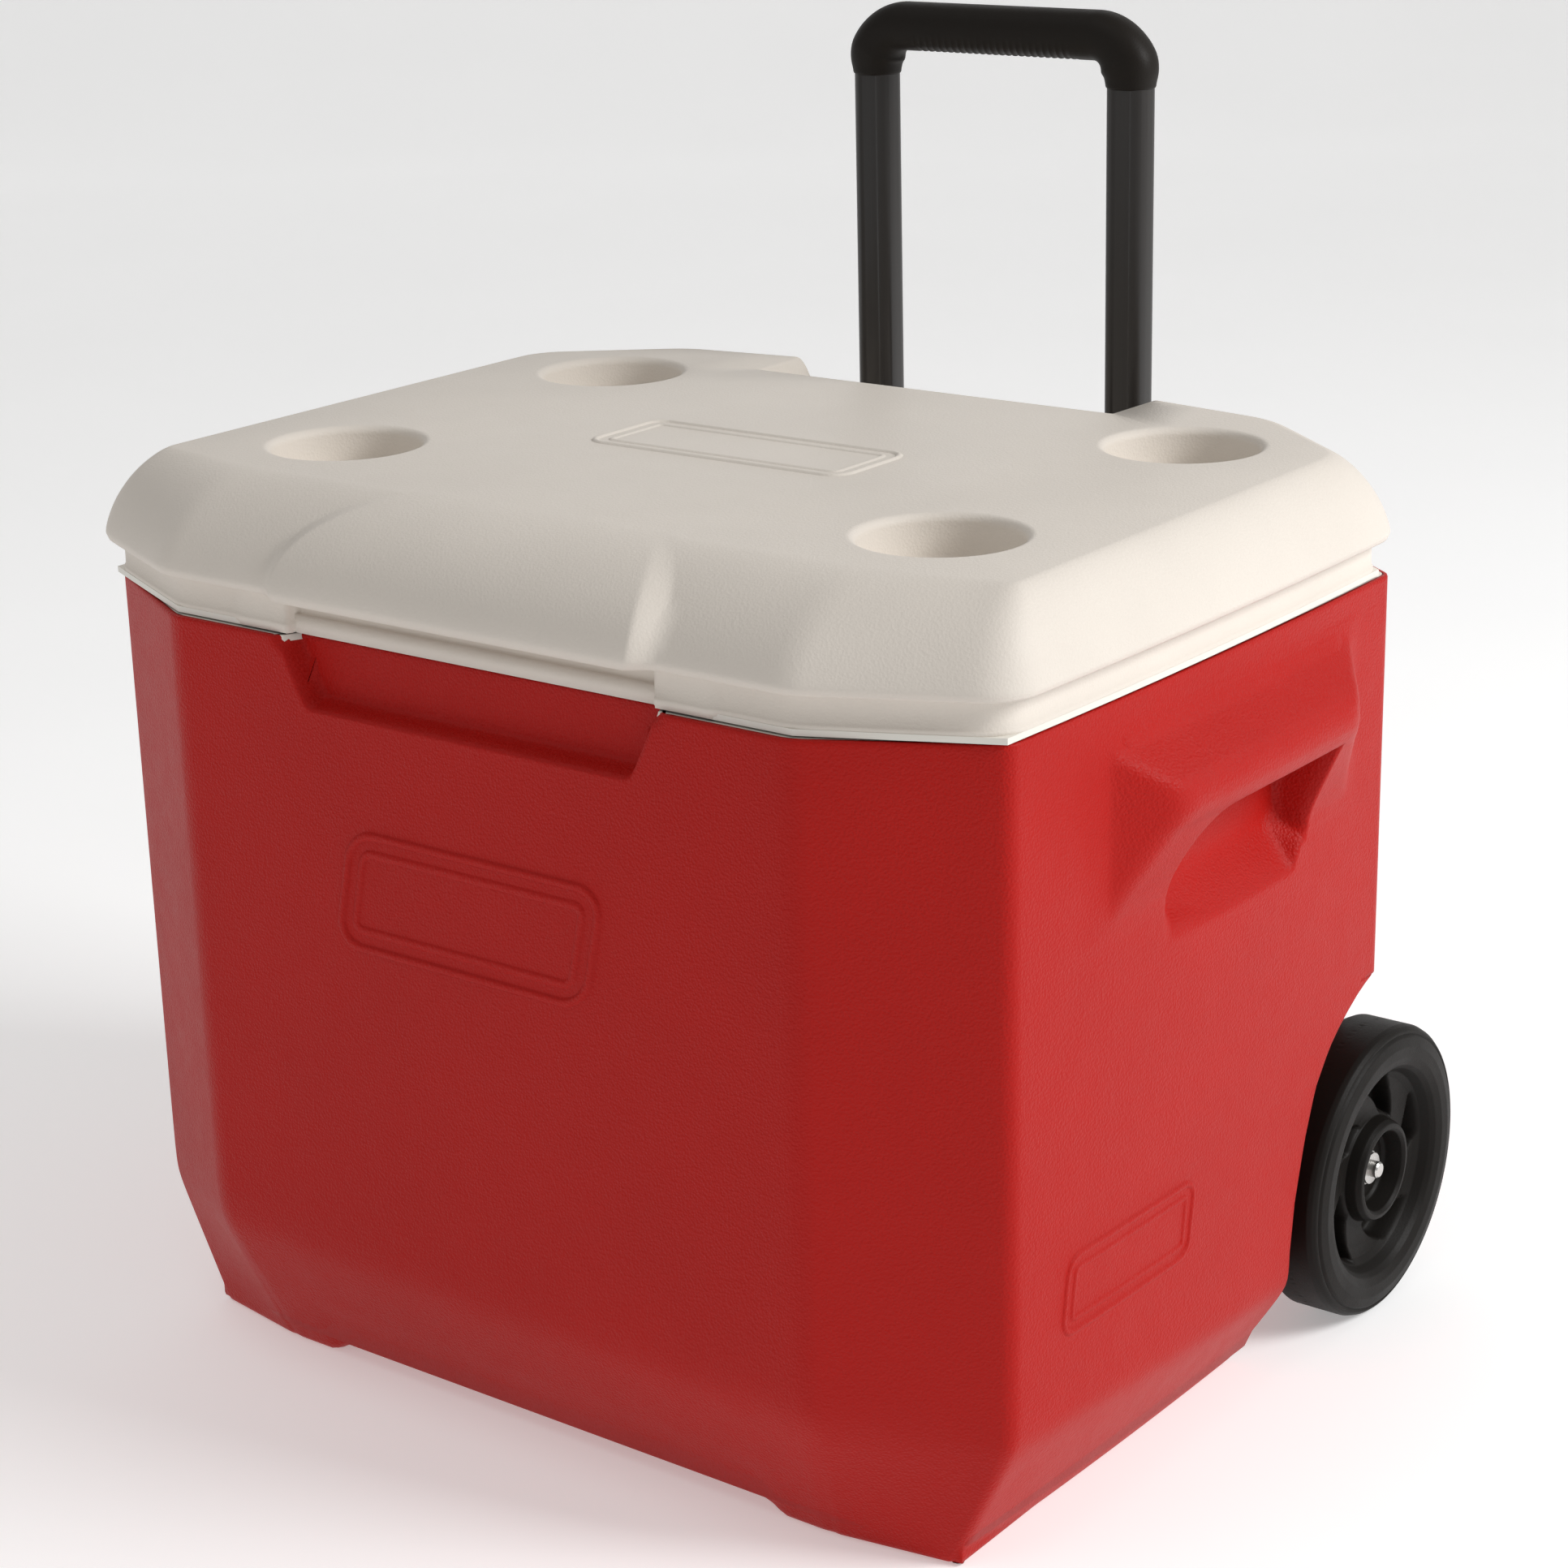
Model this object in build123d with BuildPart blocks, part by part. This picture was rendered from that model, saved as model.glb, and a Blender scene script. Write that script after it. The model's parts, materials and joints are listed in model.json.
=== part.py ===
from build123d import *
import os
from math import hypot, radians, tan

# Wheeled cooler chest with a hinged lid, a telescoping pull handle and two wheels.
# Millimetres, +Z up. The front of the chest faces -Y and the wheels are at the back.
# The origin is the centre of the footprint, on the ground.
# A setback is a distance behind the front face of the body at its rim.

# ---- driving dimensions ----
rim_height = 412.0          # ground to the top edge of the red body
lid_height = 64.0           # body rim to the flat top of the lid
rim_half_front = 190.7      # half width of the flat front
rim_half_corner = 276.5     # half width where the front facets meet the sides
rim_half_rear = 281.0       # half width where the rear facets begin
corner_setback = 45.8       # depth of the front facets
body_depth = 442.0          # front face to the back face
rear_facet = 56.0           # depth of the rear facets
back_half = 205.0           # half width of the flat back
side_bow = 3.5              # how far the long sides bulge
knee_height = 82.0          # height where the lower walls start to lean in
wall = 3.0                  # moulded skin thickness

lid_open_angle = 44.0       # the lid comes to rest on the raised handle tubes
handle_travel = 225.0       # from fully raised to fully lowered
wheel_radius = 80.0
wheel_width = 40.0
axle_inset = 46.0           # the axle in front of the back face
wheel_outer_x = 288.0       # outside of the tread
hub_depth = 15.0            # hub cup, in from the outside of the tread
wheel_pockets = 8
pocket_width = 15.0
axle_radius = 4.5
cup_radius = 39.0
cup_depth = 24.0

brow_reach = 12.0           # how far the lid's finger brow stands in front of the body

# ---- frame ----
rear_facet_setback = body_depth - rear_facet
wheel_setback = body_depth - axle_inset
overall_depth = brow_reach + wheel_setback + wheel_radius
front_y = brow_reach - overall_depth / 2
rim = rim_height
top = rim_height + lid_height

# ---- clearances ----
part_gap = 0.3              # between faces on pieces that move past each other
running = 0.08              # radial clearance of a shaft in its bore
lid_gap = 1.0               # lid skirt above the body rim
well_gap = 2.0              # wheel to the inner wall of its well

# ---- body outlines, as (half width, setback) corners from the front to the back ----
rim_corners = [
    (rim_half_front, 0.0),
    (rim_half_corner, corner_setback),
    (rim_half_rear, rear_facet_setback),
    (back_half, body_depth),
]
foot_inset = 36.0           # the lower walls lean in by this much
side_edge_radius = 12.0
knee_radius = 8.0
foot_radius = 6.0
bottom_corners = [
    (rim_half_front - 12, foot_inset),
    (rim_half_corner - foot_inset - 2, corner_setback - 3),
    (rim_half_rear - foot_inset + 2, rear_facet_setback - 8),
    (back_half - 20, body_depth - foot_inset / 2),
]

# ---- feet: the middle of the floor is raised ----
foot_rise = 6.0
foot_half = 153.0           # half width between the feet at the ground
foot_slope = 14.0

# ---- finger recess in the front, under the lid's brow ----
recess_top_half = 118.0
recess_foot_half = 101.0
recess_height = 34.0
recess_depth = 11.5
recess_taper = 24.0
recess_radius = 4.0

# ---- side hand holds: (proud of the side, below the rim), then (proud, setback) ----
hood_section = [
    (-9.0, 18.0), (2.0, 20.0), (22.0, 46.0), (24.0, 52.0), (22.0, 60.0), (1.0, 103.0), (-9.0, 103.0),
]
hood_plan = [
    (-11.0, 112.0), (2.0, 118.0), (25.0, 148.0), (25.0, 311.0), (2.0, 341.0), (-11.0, 345.0),
]
hood_radius = 6.0
pocket_front = 163.0
pocket_back = 302.0
pocket_in = -18.0           # back wall of the pocket, proud of the side
pocket_ceiling = 58.0       # heights below the rim
pocket_lip = 66.0
pocket_wall_foot = 106.0
pocket_foot = 134.0

# ---- lid outlines: foot of the crown, and the edge of the flat top ----
crown_foot = 21.0           # height above the rim where the crown starts
crown_low = [
    (192.0, -4.0),
    (284.0, 37.5),
    (287.0, rear_facet_setback - 5),
    (207.0, body_depth - 1),
    (114.0, body_depth - 0.5),
]
crown_top = [
    (190.0, 60.0),
    (260.5, 71.0),
    (259.5, rear_facet_setback - 24),
    (190.0, body_depth - 27),
    (114.0, body_depth - 15),
]
crown_steps = [(0.0, 0.0), (0.05, 0.16), (0.25, 0.50), (0.55, 0.80), (0.80, 0.95), (1.0, 1.0)]
skirt_inset = 5.0
skirt_step = 11.0           # setback of the skirt behind the brow
skirt_step_half = 113.0

# ---- finger brow: (setback, share of the lid's height) up its middle ----
brow_rise = [(-6.0, 0.578), (8.0, 0.781), (34.0, 0.945)]
brow_back = 66.0
brow_foot_half = 118.0
brow_top_half = 96.0
brow_radius = 26.0

# ---- hinge line of the lid ----
hinge_setback = body_depth + 7.0
hinge_z = rim + 2.0
hinge_x = 150.0
hinge_width = 50.0
knuckle_radius = 5.5
hinge_pin_radius = 2.5
leaf_thickness = 3.0
leaf_radius = 3.0
body_leaf = (-42.0, -5.0)   # foot and head of the fixed leaves above the rim
lid_leaf = (9.0, 43.0)      # foot and head of the moving leaves above the rim

# ---- pull handle ----
tube_x = 82.6
tube_setback = body_depth + 17
tube_width = 24.5
tube_depth = 20.0
tube_wall = 1.3
collar_foot = 222.7         # grip collars' lower edge above the rim
grip_top = 263.0
grip_bar = 26.5             # thickness of the bar
grip_half = 98.5
grip_depth = 27.0
grip_throat = 66.5          # half width between the collars
grip_flare = 8.0            # the throat is narrower by this under the bar
grip_corner = 20.0
grip_edge = 7.0
rib_pitch = 7.0             # finger ribs under the bar
rib_radius = 1.6
rib_count = 15
socket_depth = 20.0
dimple_height = 210.0       # catch hole in the front of each tube, above the rim
dimple_radius = 2.6
bush_length = 60.0
bush_head = 25.0            # top of the slide bush below the rim
sleeve_top = 24.0
sleeve_room = 1.35          # radial room around the tube for the slide bush
sleeve_wall = 1.4
guide_width = 224.0
guide_height = 34.0
guide_cap = 9.0             # the upper bracket closes over the sleeves by this much
guide_wall = 3.5

# ---- notch at the back of the lid that clears the raised handle ----
notch_half = 115.0
notch_front = body_depth - 56.5
notch_floor = 12.0          # above the rim
notch_lean = 0.88           # under 1: the slope is steeper than the open lid needs

# ---- inner tub ----
tub_top = (243.0, 32.0, body_depth - 37)    # half width, front and back setbacks at the rim
tub_floor = (214.0, 62.0, body_depth - 45)  # the same at the floor
tub_corner = 30.0
tub_floor_z = 38.0
axle_z = wheel_radius
tunnel_setback = wheel_setback - 24
tunnel_height = axle_z + 24
tunnel_half = 222.0
hump_setback = tunnel_setback - 29
hump_height = tunnel_height + 30
well_inner_x = wheel_outer_x - wheel_width - well_gap
well_room = 16.0            # between the tread and the arch

# ---- screws ----
screw_radius = 2.0
screw_length = 11.0
head_radius = 4.0
head_height = 2.4
head_taper = 12.0
hole_play = 0.05


def at(setback):
    return front_y + setback


def save(piece, name):
    piece.label = name
    export_step(piece, f"parts/{name}.step")


def mirrored(corners):
    """Full outline, right half from the front to the back and then the left half."""
    right = [(x, at(s)) for x, s in corners]
    return right + [(-x, y) for x, y in reversed(right)]


def inset(corners, gap):
    """Move every side of an outline inwards by gap, and return its right half."""
    points = mirrored(corners)
    count = len(points)
    moved = []
    for i in range(len(corners)):
        before, here, after = points[i - 1], points[i], points[(i + 1) % count]
        normals = []
        for start, end in ((before, here), (here, after)):
            dx, dy = end[0] - start[0], end[1] - start[1]
            normals.append((-dy / hypot(dx, dy), dx / hypot(dx, dy)))
        (ax, ay), (bx, by) = normals
        scale = gap / (1 + ax * bx + ay * by)
        moved.append((here[0] + (ax + bx) * scale, here[1] + (ay + by) * scale - front_y))
    return moved


def between(low, high, part):
    return [(a + (c - a) * part, b + (d - b) * part) for (a, b), (c, d) in zip(low, high)]


def outline(corners, bow):
    """Face with straight sides except the long ones, which bulge by bow."""
    points = mirrored(corners)
    (ax, ay), (bx, by) = points[1], points[2]
    middle = ((ax + bx) / 2 + bow, (ay + by) / 2)
    with BuildSketch(mode=Mode.PRIVATE) as face:
        with BuildLine():
            Polyline(points[-2], points[-1], points[0], points[1])
            ThreePointArc(points[1], middle, points[2])
            Polyline(*points[2:-2])
            ThreePointArc(points[-3], (-middle[0], middle[1]), points[-2])
        make_face()
    return face.sketch


def level(edge, height):
    box = edge.bounding_box()
    return abs(box.min.Z - height) < 0.5 and abs(box.max.Z - height) < 0.5


def upright(edge):
    return edge.bounding_box().size.Z > (rim - knee_height) / 2


def body_form(gap):
    """The chest's outer form, shrunk by gap on every side and at the floor."""
    levels = [(gap, bottom_corners), (knee_height, rim_corners), (rim, rim_corners)]
    with BuildPart() as form:
        for height, corners in levels:
            with BuildSketch(Plane.XY.offset(height)):
                add(outline(inset(corners, gap) if gap else corners, side_bow))
        loft(ruled=True)
        if not gap:
            fillet(form.edges().filter_by(upright), side_edge_radius)
            fillet(form.edges().filter_by(lambda edge: level(edge, knee_height)), knee_radius)
            fillet(form.edges().filter_by(lambda edge: level(edge, 0)), foot_radius)
    return form.part


def well_form(side, gap):
    """Wheel well: an arch around the wheel that is open at the back and below."""
    low, high = well_inner_x - gap, rim_half_rear + 40
    start, end = (low, high) if side > 0 else (-high, -low)
    arch = wheel_radius + well_room + gap
    front = at(wheel_setback) - arch
    spring = axle_z - 8
    crown = (at(rear_facet_setback) - gap, axle_z + arch + 22)
    haunch = (front + 0.32 * arch, axle_z + 0.8 * arch)
    beyond = at(body_depth) + 60
    with BuildPart() as form:
        with BuildSketch(Plane.YZ.offset(start)):
            with BuildLine():
                Line((front, -20), (front, spring))
                ThreePointArc((front, spring), haunch, crown)
                Line(crown, (beyond, crown[1] + 8))
                Line((beyond, crown[1] + 8), (beyond, -20))
                Line((beyond, -20), (front, -20))
            make_face()
        extrude(amount=end - start)
    return form.part


def tunnel_form(gap):
    """Space across the lower back for the axle, open at the back and below."""
    front, back = tunnel_setback - gap, body_depth + 60
    with BuildPart() as form:
        with BuildSketch(Plane.XY.offset(-20)):
            with Locations((0, at((front + back) / 2))):
                Rectangle(2 * (tunnel_half + gap), back - front)
        extrude(amount=20 + tunnel_height + gap)
    return form.part


def front_recess_form(gap):
    """Finger recess under the lid's brow, with sloping walls."""
    wide, narrow = recess_top_half + gap, recess_foot_half + gap
    head, foot = rim + 6, rim - recess_height - gap
    with BuildPart() as form:
        with BuildSketch(Plane.XZ.offset(-at(-0.5))):
            with BuildLine():
                Polyline((-wide, head), (wide, head), (narrow, foot), (-narrow, foot), (-wide, head))
            make_face()
        extrude(amount=-(recess_depth + gap), taper=recess_taper)
        fillet(form.faces().sort_by(Axis.Y)[-1].edges(), recess_radius)
    return form.part


def hood_form(side):
    """Side hand hold's hood: it swells out below the rim and ends in sloping cheeks."""
    section = [(side * (rim_half_rear + proud), rim - drop) for proud, drop in hood_section]
    plan = [(side * (rim_half_rear + proud), at(setback)) for proud, setback in hood_plan]
    front, back = hood_plan[1][1], hood_plan[-2][1]
    with BuildPart() as form:
        with BuildSketch(Plane.XZ.offset(-at(back))):
            with BuildLine():
                Polyline(*section, section[0])
            make_face()
        extrude(amount=back - front)
        with BuildSketch(Plane.XY.offset(rim - hood_section[-1][1] - 7)):
            with BuildLine():
                Polyline(*plan, plan[0])
            make_face()
        extrude(amount=hood_section[-1][1] + 7, mode=Mode.INTERSECT)
        fillet(form.edges().filter_by(lambda edge: abs(edge.center().X) > rim_half_rear + 11), hood_radius)
    return form.part


def pocket_form(side, gap):
    """Finger pocket under the hood, with a sloping ramp below."""
    front, back = pocket_front - gap, pocket_back + gap
    wall_in = pocket_in - gap
    section = [
        (wall_in, pocket_ceiling - gap), (10 + gap, pocket_ceiling - gap), (18, pocket_lip),
        (49, pocket_lip), (49, pocket_foot + 16), (6, pocket_foot + gap),
        (wall_in, pocket_wall_foot + gap), (wall_in, pocket_ceiling - gap),
    ]
    with BuildPart() as form:
        with BuildSketch(Plane.XZ.offset(-at(back))):
            with BuildLine():
                Polyline(*[(side * (rim_half_rear + proud), rim - drop) for proud, drop in section])
            make_face()
        extrude(amount=back - front)
    return form.part


# Planes that face the back of the chest: local x runs towards -X, local y is up.
def back_plane(setback):
    return Plane(origin=(0, at(setback), 0), x_dir=(-1, 0, 0), z_dir=(0, 1, 0))


def screw_holes(places, plane, length):
    """Round holes at the given (x, z) places, going in from the plane."""
    with BuildPart() as holes:
        with BuildSketch(plane):
            with Locations(*[(-x, z) for x, z in places]):
                Circle(screw_radius + hole_play)
        extrude(amount=-length)
    return holes.part


hinge_screw_x = [side * hinge_x + step for side in (-1, 1) for step in (-14, 14)]
body_leaf_screws = [(x, rim - 24) for x in hinge_screw_x]
lid_leaf_screws = [(x, rim + 32) for x in hinge_screw_x]
guide_screws_upper = [(x, rim - sleeve_top - z) for x in (-36, 36) for z in (0, 22)]
guide_low_z = tunnel_height + 4
guide_screws_lower = [(x, guide_low_z + guide_height / 2) for x in (-36, 36)]
guide_flange = 4.0
guide_back = body_depth + guide_flange
grip_back = tube_setback + grip_depth / 2
grip_screw_places = [(side * tube_x, rim + collar_foot + 10) for side in (-1, 1)]
screw_sets = [
    (body_leaf_screws, body_depth + leaf_thickness),
    (guide_screws_upper + guide_screws_lower, guide_back),
]


def chest():
    """Outer skin, inner tub and the foam between them."""
    inner = body_form(wall)
    with BuildPart() as void:
        add(inner)
        with BuildSketch(Plane.XY.offset(rim - 1)):
            add(outline(inset(rim_corners, wall), side_bow))
        extrude(amount=6)

    with BuildPart() as shell:
        add(body_form(0))
        for side in (-1, 1):
            add(hood_form(side))
        add(void.part, mode=Mode.SUBTRACT)
    skin = shell.part

    with BuildPart() as thick:
        add(tunnel_form(wall))
        add(front_recess_form(wall))
        for side in (-1, 1):
            add(well_form(side, wall))
            add(pocket_form(side, wall))
            add(hood_form(side))
    with BuildPart() as limits:
        add(body_form(0))
        for side in (-1, 1):
            add(hood_form(side))
    backing = thick.part & limits.part

    with BuildPart() as outer:
        add(skin)
        add(backing)
        add(tunnel_form(0), mode=Mode.SUBTRACT)
        add(front_recess_form(0), mode=Mode.SUBTRACT)
        for side in (-1, 1):
            add(well_form(side, 0), mode=Mode.SUBTRACT)
            add(pocket_form(side, 0), mode=Mode.SUBTRACT)
        # The middle of the floor is raised, which leaves a foot and a skid on each side.
        with BuildSketch(Plane.XZ.offset(-at(-10))):
            with BuildLine():
                narrow = foot_half - foot_slope
                Polyline(
                    (-foot_half, -1), (foot_half, -1), (narrow, foot_rise), (-narrow, foot_rise),
                    (-foot_half, -1),
                )
            make_face()
        extrude(amount=-(body_depth + 20), mode=Mode.SUBTRACT)
        with BuildSketch(Plane.YZ):
            with Locations((at(wheel_setback), axle_z)):
                Circle(axle_radius + hole_play)
        extrude(amount=rim_half_rear, both=True, mode=Mode.SUBTRACT)
        for places, setback in screw_sets:
            add(screw_holes(places, back_plane(setback), 16), mode=Mode.SUBTRACT)
    return outer.part, void.part, thick.part


def tub_form(gap, lift=0.0):
    """Inside of the tub, grown by gap, with the step over the axle tunnel."""
    # The walls carry on at the same slope above the rim, by lift.
    grow = 1 + lift / (rim - tub_floor_z)
    mouth = [low + (high - low) * grow for low, high in zip(tub_floor, tub_top)]
    with BuildPart() as form:
        for (half, front, back), height in ((tub_floor, tub_floor_z - gap), (mouth, rim + lift)):
            with BuildSketch(Plane.XY.offset(height)):
                with Locations((0, at((front + back) / 2))):
                    RectangleRounded(2 * (half + gap), back - front + 2 * gap, tub_corner + gap)
        loft()
        with BuildSketch(Plane.XY.offset(tub_floor_z - gap - 5)):
            with Locations((0, at(hump_setback + gap + 60))):
                Rectangle(600, 120)
        extrude(amount=hump_height - gap - (tub_floor_z - gap - 5), mode=Mode.SUBTRACT)
    return form.part


def tub_and_foam(void, thick):
    raised_floor = foot_rise + wall
    with BuildPart() as liner:
        add(tub_form(wall))
        with BuildSketch(Plane.XY.offset(rim - wall)):
            add(outline(inset(rim_corners, wall), side_bow))
        extrude(amount=wall)
        add(front_recess_form(wall), mode=Mode.SUBTRACT)
        add(tub_form(0, 6), mode=Mode.SUBTRACT)
    with BuildPart() as foam:
        add(void)
        add(thick, mode=Mode.SUBTRACT)
        add(tub_form(wall), mode=Mode.SUBTRACT)
        with BuildSketch(Plane.XY.offset(rim - wall)):
            Rectangle(700, 700)
        extrude(amount=30, mode=Mode.SUBTRACT)
        with BuildSketch(Plane.XY):
            Rectangle(700, 700)
        extrude(amount=raised_floor, mode=Mode.SUBTRACT)
        for places, setback in screw_sets:
            add(screw_holes(places, back_plane(setback), 16), mode=Mode.SUBTRACT)
        with BuildSketch(Plane.YZ):
            with Locations((at(wheel_setback), axle_z)):
                Circle(axle_radius + hole_play)
        extrude(amount=rim_half_rear, both=True, mode=Mode.SUBTRACT)
    return liner.part, foam.part


def crown_form(gap):
    """The lid's domed rim and flat top, shrunk by gap."""
    with BuildPart() as form:
        for run, rise in crown_steps:
            corners = between(crown_low, crown_top, run)
            height = rim + crown_foot + (lid_height - crown_foot) * rise - gap
            with BuildSketch(Plane.XY.offset(height)):
                add(outline(inset(corners, gap) if gap else corners, side_bow * (1 - run) + 0.5))
        loft(ruled=True)
    return form.part


def skirt_form(gap, foot):
    """Upright skirt between the crown and the body rim."""
    corners = inset(crown_low, skirt_inset + gap)
    with BuildPart() as form:
        with BuildSketch(Plane.XY.offset(rim + foot)):
            add(outline(corners, side_bow))
        extrude(amount=crown_foot - foot + 0.5)
    return form.part


def brow_form(gap):
    """Finger brow: it bulges over the recess and runs up into the flat top."""
    start = (at(-brow_reach + gap), rim + crown_foot)
    middle = [(at(setback + gap), rim + lid_height * share - gap) for setback, share in brow_rise]
    end = (at(brow_back), top - gap)
    with BuildPart() as form:
        with BuildSketch(Plane.YZ.offset(-125)):
            with BuildLine():
                Spline(start, *middle, end, tangents=[(0.1, 1), (1, 0)])
                Polyline(end, (at(brow_back), rim + crown_foot), start)
            make_face()
        extrude(amount=250)
        with BuildSketch(Plane.XY.offset(rim)) as plan:
            with BuildLine():
                wide, narrow = brow_foot_half - gap, brow_top_half - gap
                Polyline(
                    (-wide, at(-20)), (wide, at(-20)), (narrow, at(brow_back)), (-narrow, at(brow_back)),
                    (-wide, at(-20)),
                )
            make_face()
            fillet(plan.vertices().group_by(Axis.Y)[-1], brow_radius)
        extrude(amount=lid_height + 5, mode=Mode.INTERSECT)
    return form.part


def notch_form(gap):
    """Cut at the back of the lid; its slope lies flat on the tubes when the lid is open."""
    floor = notch_floor - gap
    front = at(notch_front - gap)
    back = front + (lid_height - floor) * notch_lean / tan(radians(lid_open_angle))
    with BuildPart() as form:
        with BuildSketch(Plane.YZ.offset(-notch_half - 14 - gap)):
            with BuildLine():
                Polyline(
                    (front - 20, top + 20), (front, top), (back, rim + floor), (back, rim - 30),
                    (at(body_depth + 60), rim - 30), (at(body_depth + 60), top + 20),
                    (front - 20, top + 20),
                )
            make_face()
        extrude(amount=2 * (notch_half + 14 + gap))
        with BuildSketch(Plane.XZ.offset(-at(body_depth + 60))):
            with BuildLine():
                wide, narrow = notch_half + 6 + gap, notch_half - 8 + gap
                Polyline(
                    (-narrow, rim - 30), (narrow, rim - 30), (narrow, rim + 40),
                    (wide, top + 20), (-wide, top + 20), (-narrow, rim + 40), (-narrow, rim - 30),
                )
            make_face()
        extrude(amount=200, mode=Mode.INTERSECT)
    return form.part


cup_x = 186.0
cup_setbacks = (125.4, body_depth - 100.8)
cup_mouth_radius = 2.8
cup_floor_radius = 3.0
cup_places = [(x, at(setback)) for x in (-cup_x, cup_x) for setback in cup_setbacks]
plug_depth = 12.0
plug_play = 4.0


def lid():
    """Top moulding, underside and the foam inside."""
    pad_low, pad_high = lid_gap, lid_leaf[1] + 1
    with BuildPart() as outer:
        add(crown_form(0))
        add(skirt_form(0, lid_gap))
        add(brow_form(0))
        for side in (-1, 1):
            with BuildSketch(Plane.XY.offset(rim + pad_low)):
                with Locations((side * hinge_x, at(body_depth - 11))):
                    Rectangle(hinge_width + 4, 22)
            extrude(amount=pad_high - pad_low)
        add(front_skirt_recess(0), mode=Mode.SUBTRACT)
        add(notch_form(0), mode=Mode.SUBTRACT)
    with BuildPart() as inner:
        add(crown_form(wall))
        add(skirt_form(wall, lid_gap - 4))
        add(brow_form(wall))
        add(front_skirt_recess(wall), mode=Mode.SUBTRACT)
        add(notch_form(wall), mode=Mode.SUBTRACT)
        with BuildSketch(Plane.XY.offset(rim - 5)):
            with Locations(*[(side * hinge_x, at(body_depth)) for side in (-1, 1)]):
                Rectangle(hinge_width + 4, 44)
        extrude(amount=5 + pad_high, mode=Mode.SUBTRACT)
    with BuildPart() as cups:
        with BuildSketch(Plane.XY.offset(top - cup_depth - wall)):
            with Locations(*cup_places):
                Circle(cup_radius + wall)
        extrude(amount=cup_depth + wall)
    with BuildPart() as shell:
        add(outer.part)
        add(inner.part, mode=Mode.SUBTRACT)
        add(cups.part & outer.part)
        with BuildSketch(Plane.XY.offset(top - cup_depth)):
            with Locations(*cup_places):
                Circle(cup_radius)
        extrude(amount=cup_depth + 5, mode=Mode.SUBTRACT)
        mouths = shell.edges().filter_by(GeomType.CIRCLE).group_by(Axis.Z)[-1]
        fillet(mouths, cup_mouth_radius)
        floors = shell.edges().filter_by(GeomType.CIRCLE).filter_by_position(
            Axis.Z, top - cup_depth - 0.1, top - cup_depth + 0.1
        )
        fillet(floors, cup_floor_radius)
        add(screw_holes(lid_leaf_screws, back_plane(body_depth), 12), mode=Mode.SUBTRACT)

    pan_top = lid_gap + wall
    with BuildPart() as pan:
        add(inner.part)
        with BuildSketch(Plane.XY.offset(rim + pan_top)):
            Rectangle(800, 800)
        extrude(amount=100, mode=Mode.SUBTRACT)
        with BuildSketch(Plane.XY.offset(rim - 20)):
            Rectangle(800, 800)
        extrude(amount=20 + lid_gap, mode=Mode.SUBTRACT)
        with BuildSketch(Plane.XY.offset(rim - plug_depth)):
            plug_outline(plug_play)
        extrude(amount=plug_depth + pan_top)
        with BuildSketch(Plane.XY.offset(rim - plug_depth + wall)):
            plug_outline(plug_play + wall)
        extrude(amount=plug_depth + 10, mode=Mode.SUBTRACT)
    with BuildPart() as foam:
        add(inner.part)
        add(cups.part, mode=Mode.SUBTRACT)
        with BuildSketch(Plane.XY.offset(rim - 20)):
            Rectangle(800, 800)
        extrude(amount=20 + pan_top, mode=Mode.SUBTRACT)
        with BuildSketch(Plane.XY.offset(rim - plug_depth + wall)):
            plug_outline(plug_play + wall)
        extrude(amount=plug_depth + pan_top)
    return shell.part, pan.part, foam.part


def plug_outline(gap):
    half, front, back = tub_top
    with Locations((0, at((front + back) / 2))):
        RectangleRounded(2 * (half - gap), back - front - 2 * gap, tub_corner - gap)


def front_skirt_recess(gap):
    """Room for fingers behind the brow: the skirt steps back in the middle."""
    with BuildPart() as form:
        with BuildSketch(Plane.XY.offset(rim - 10)):
            with Locations((0, at((skirt_step + gap - 40) / 2))):
                Rectangle(2 * (skirt_step_half + gap), 40 + skirt_step + gap)
        extrude(amount=10 + crown_foot + 1)
    return form.part


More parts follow.
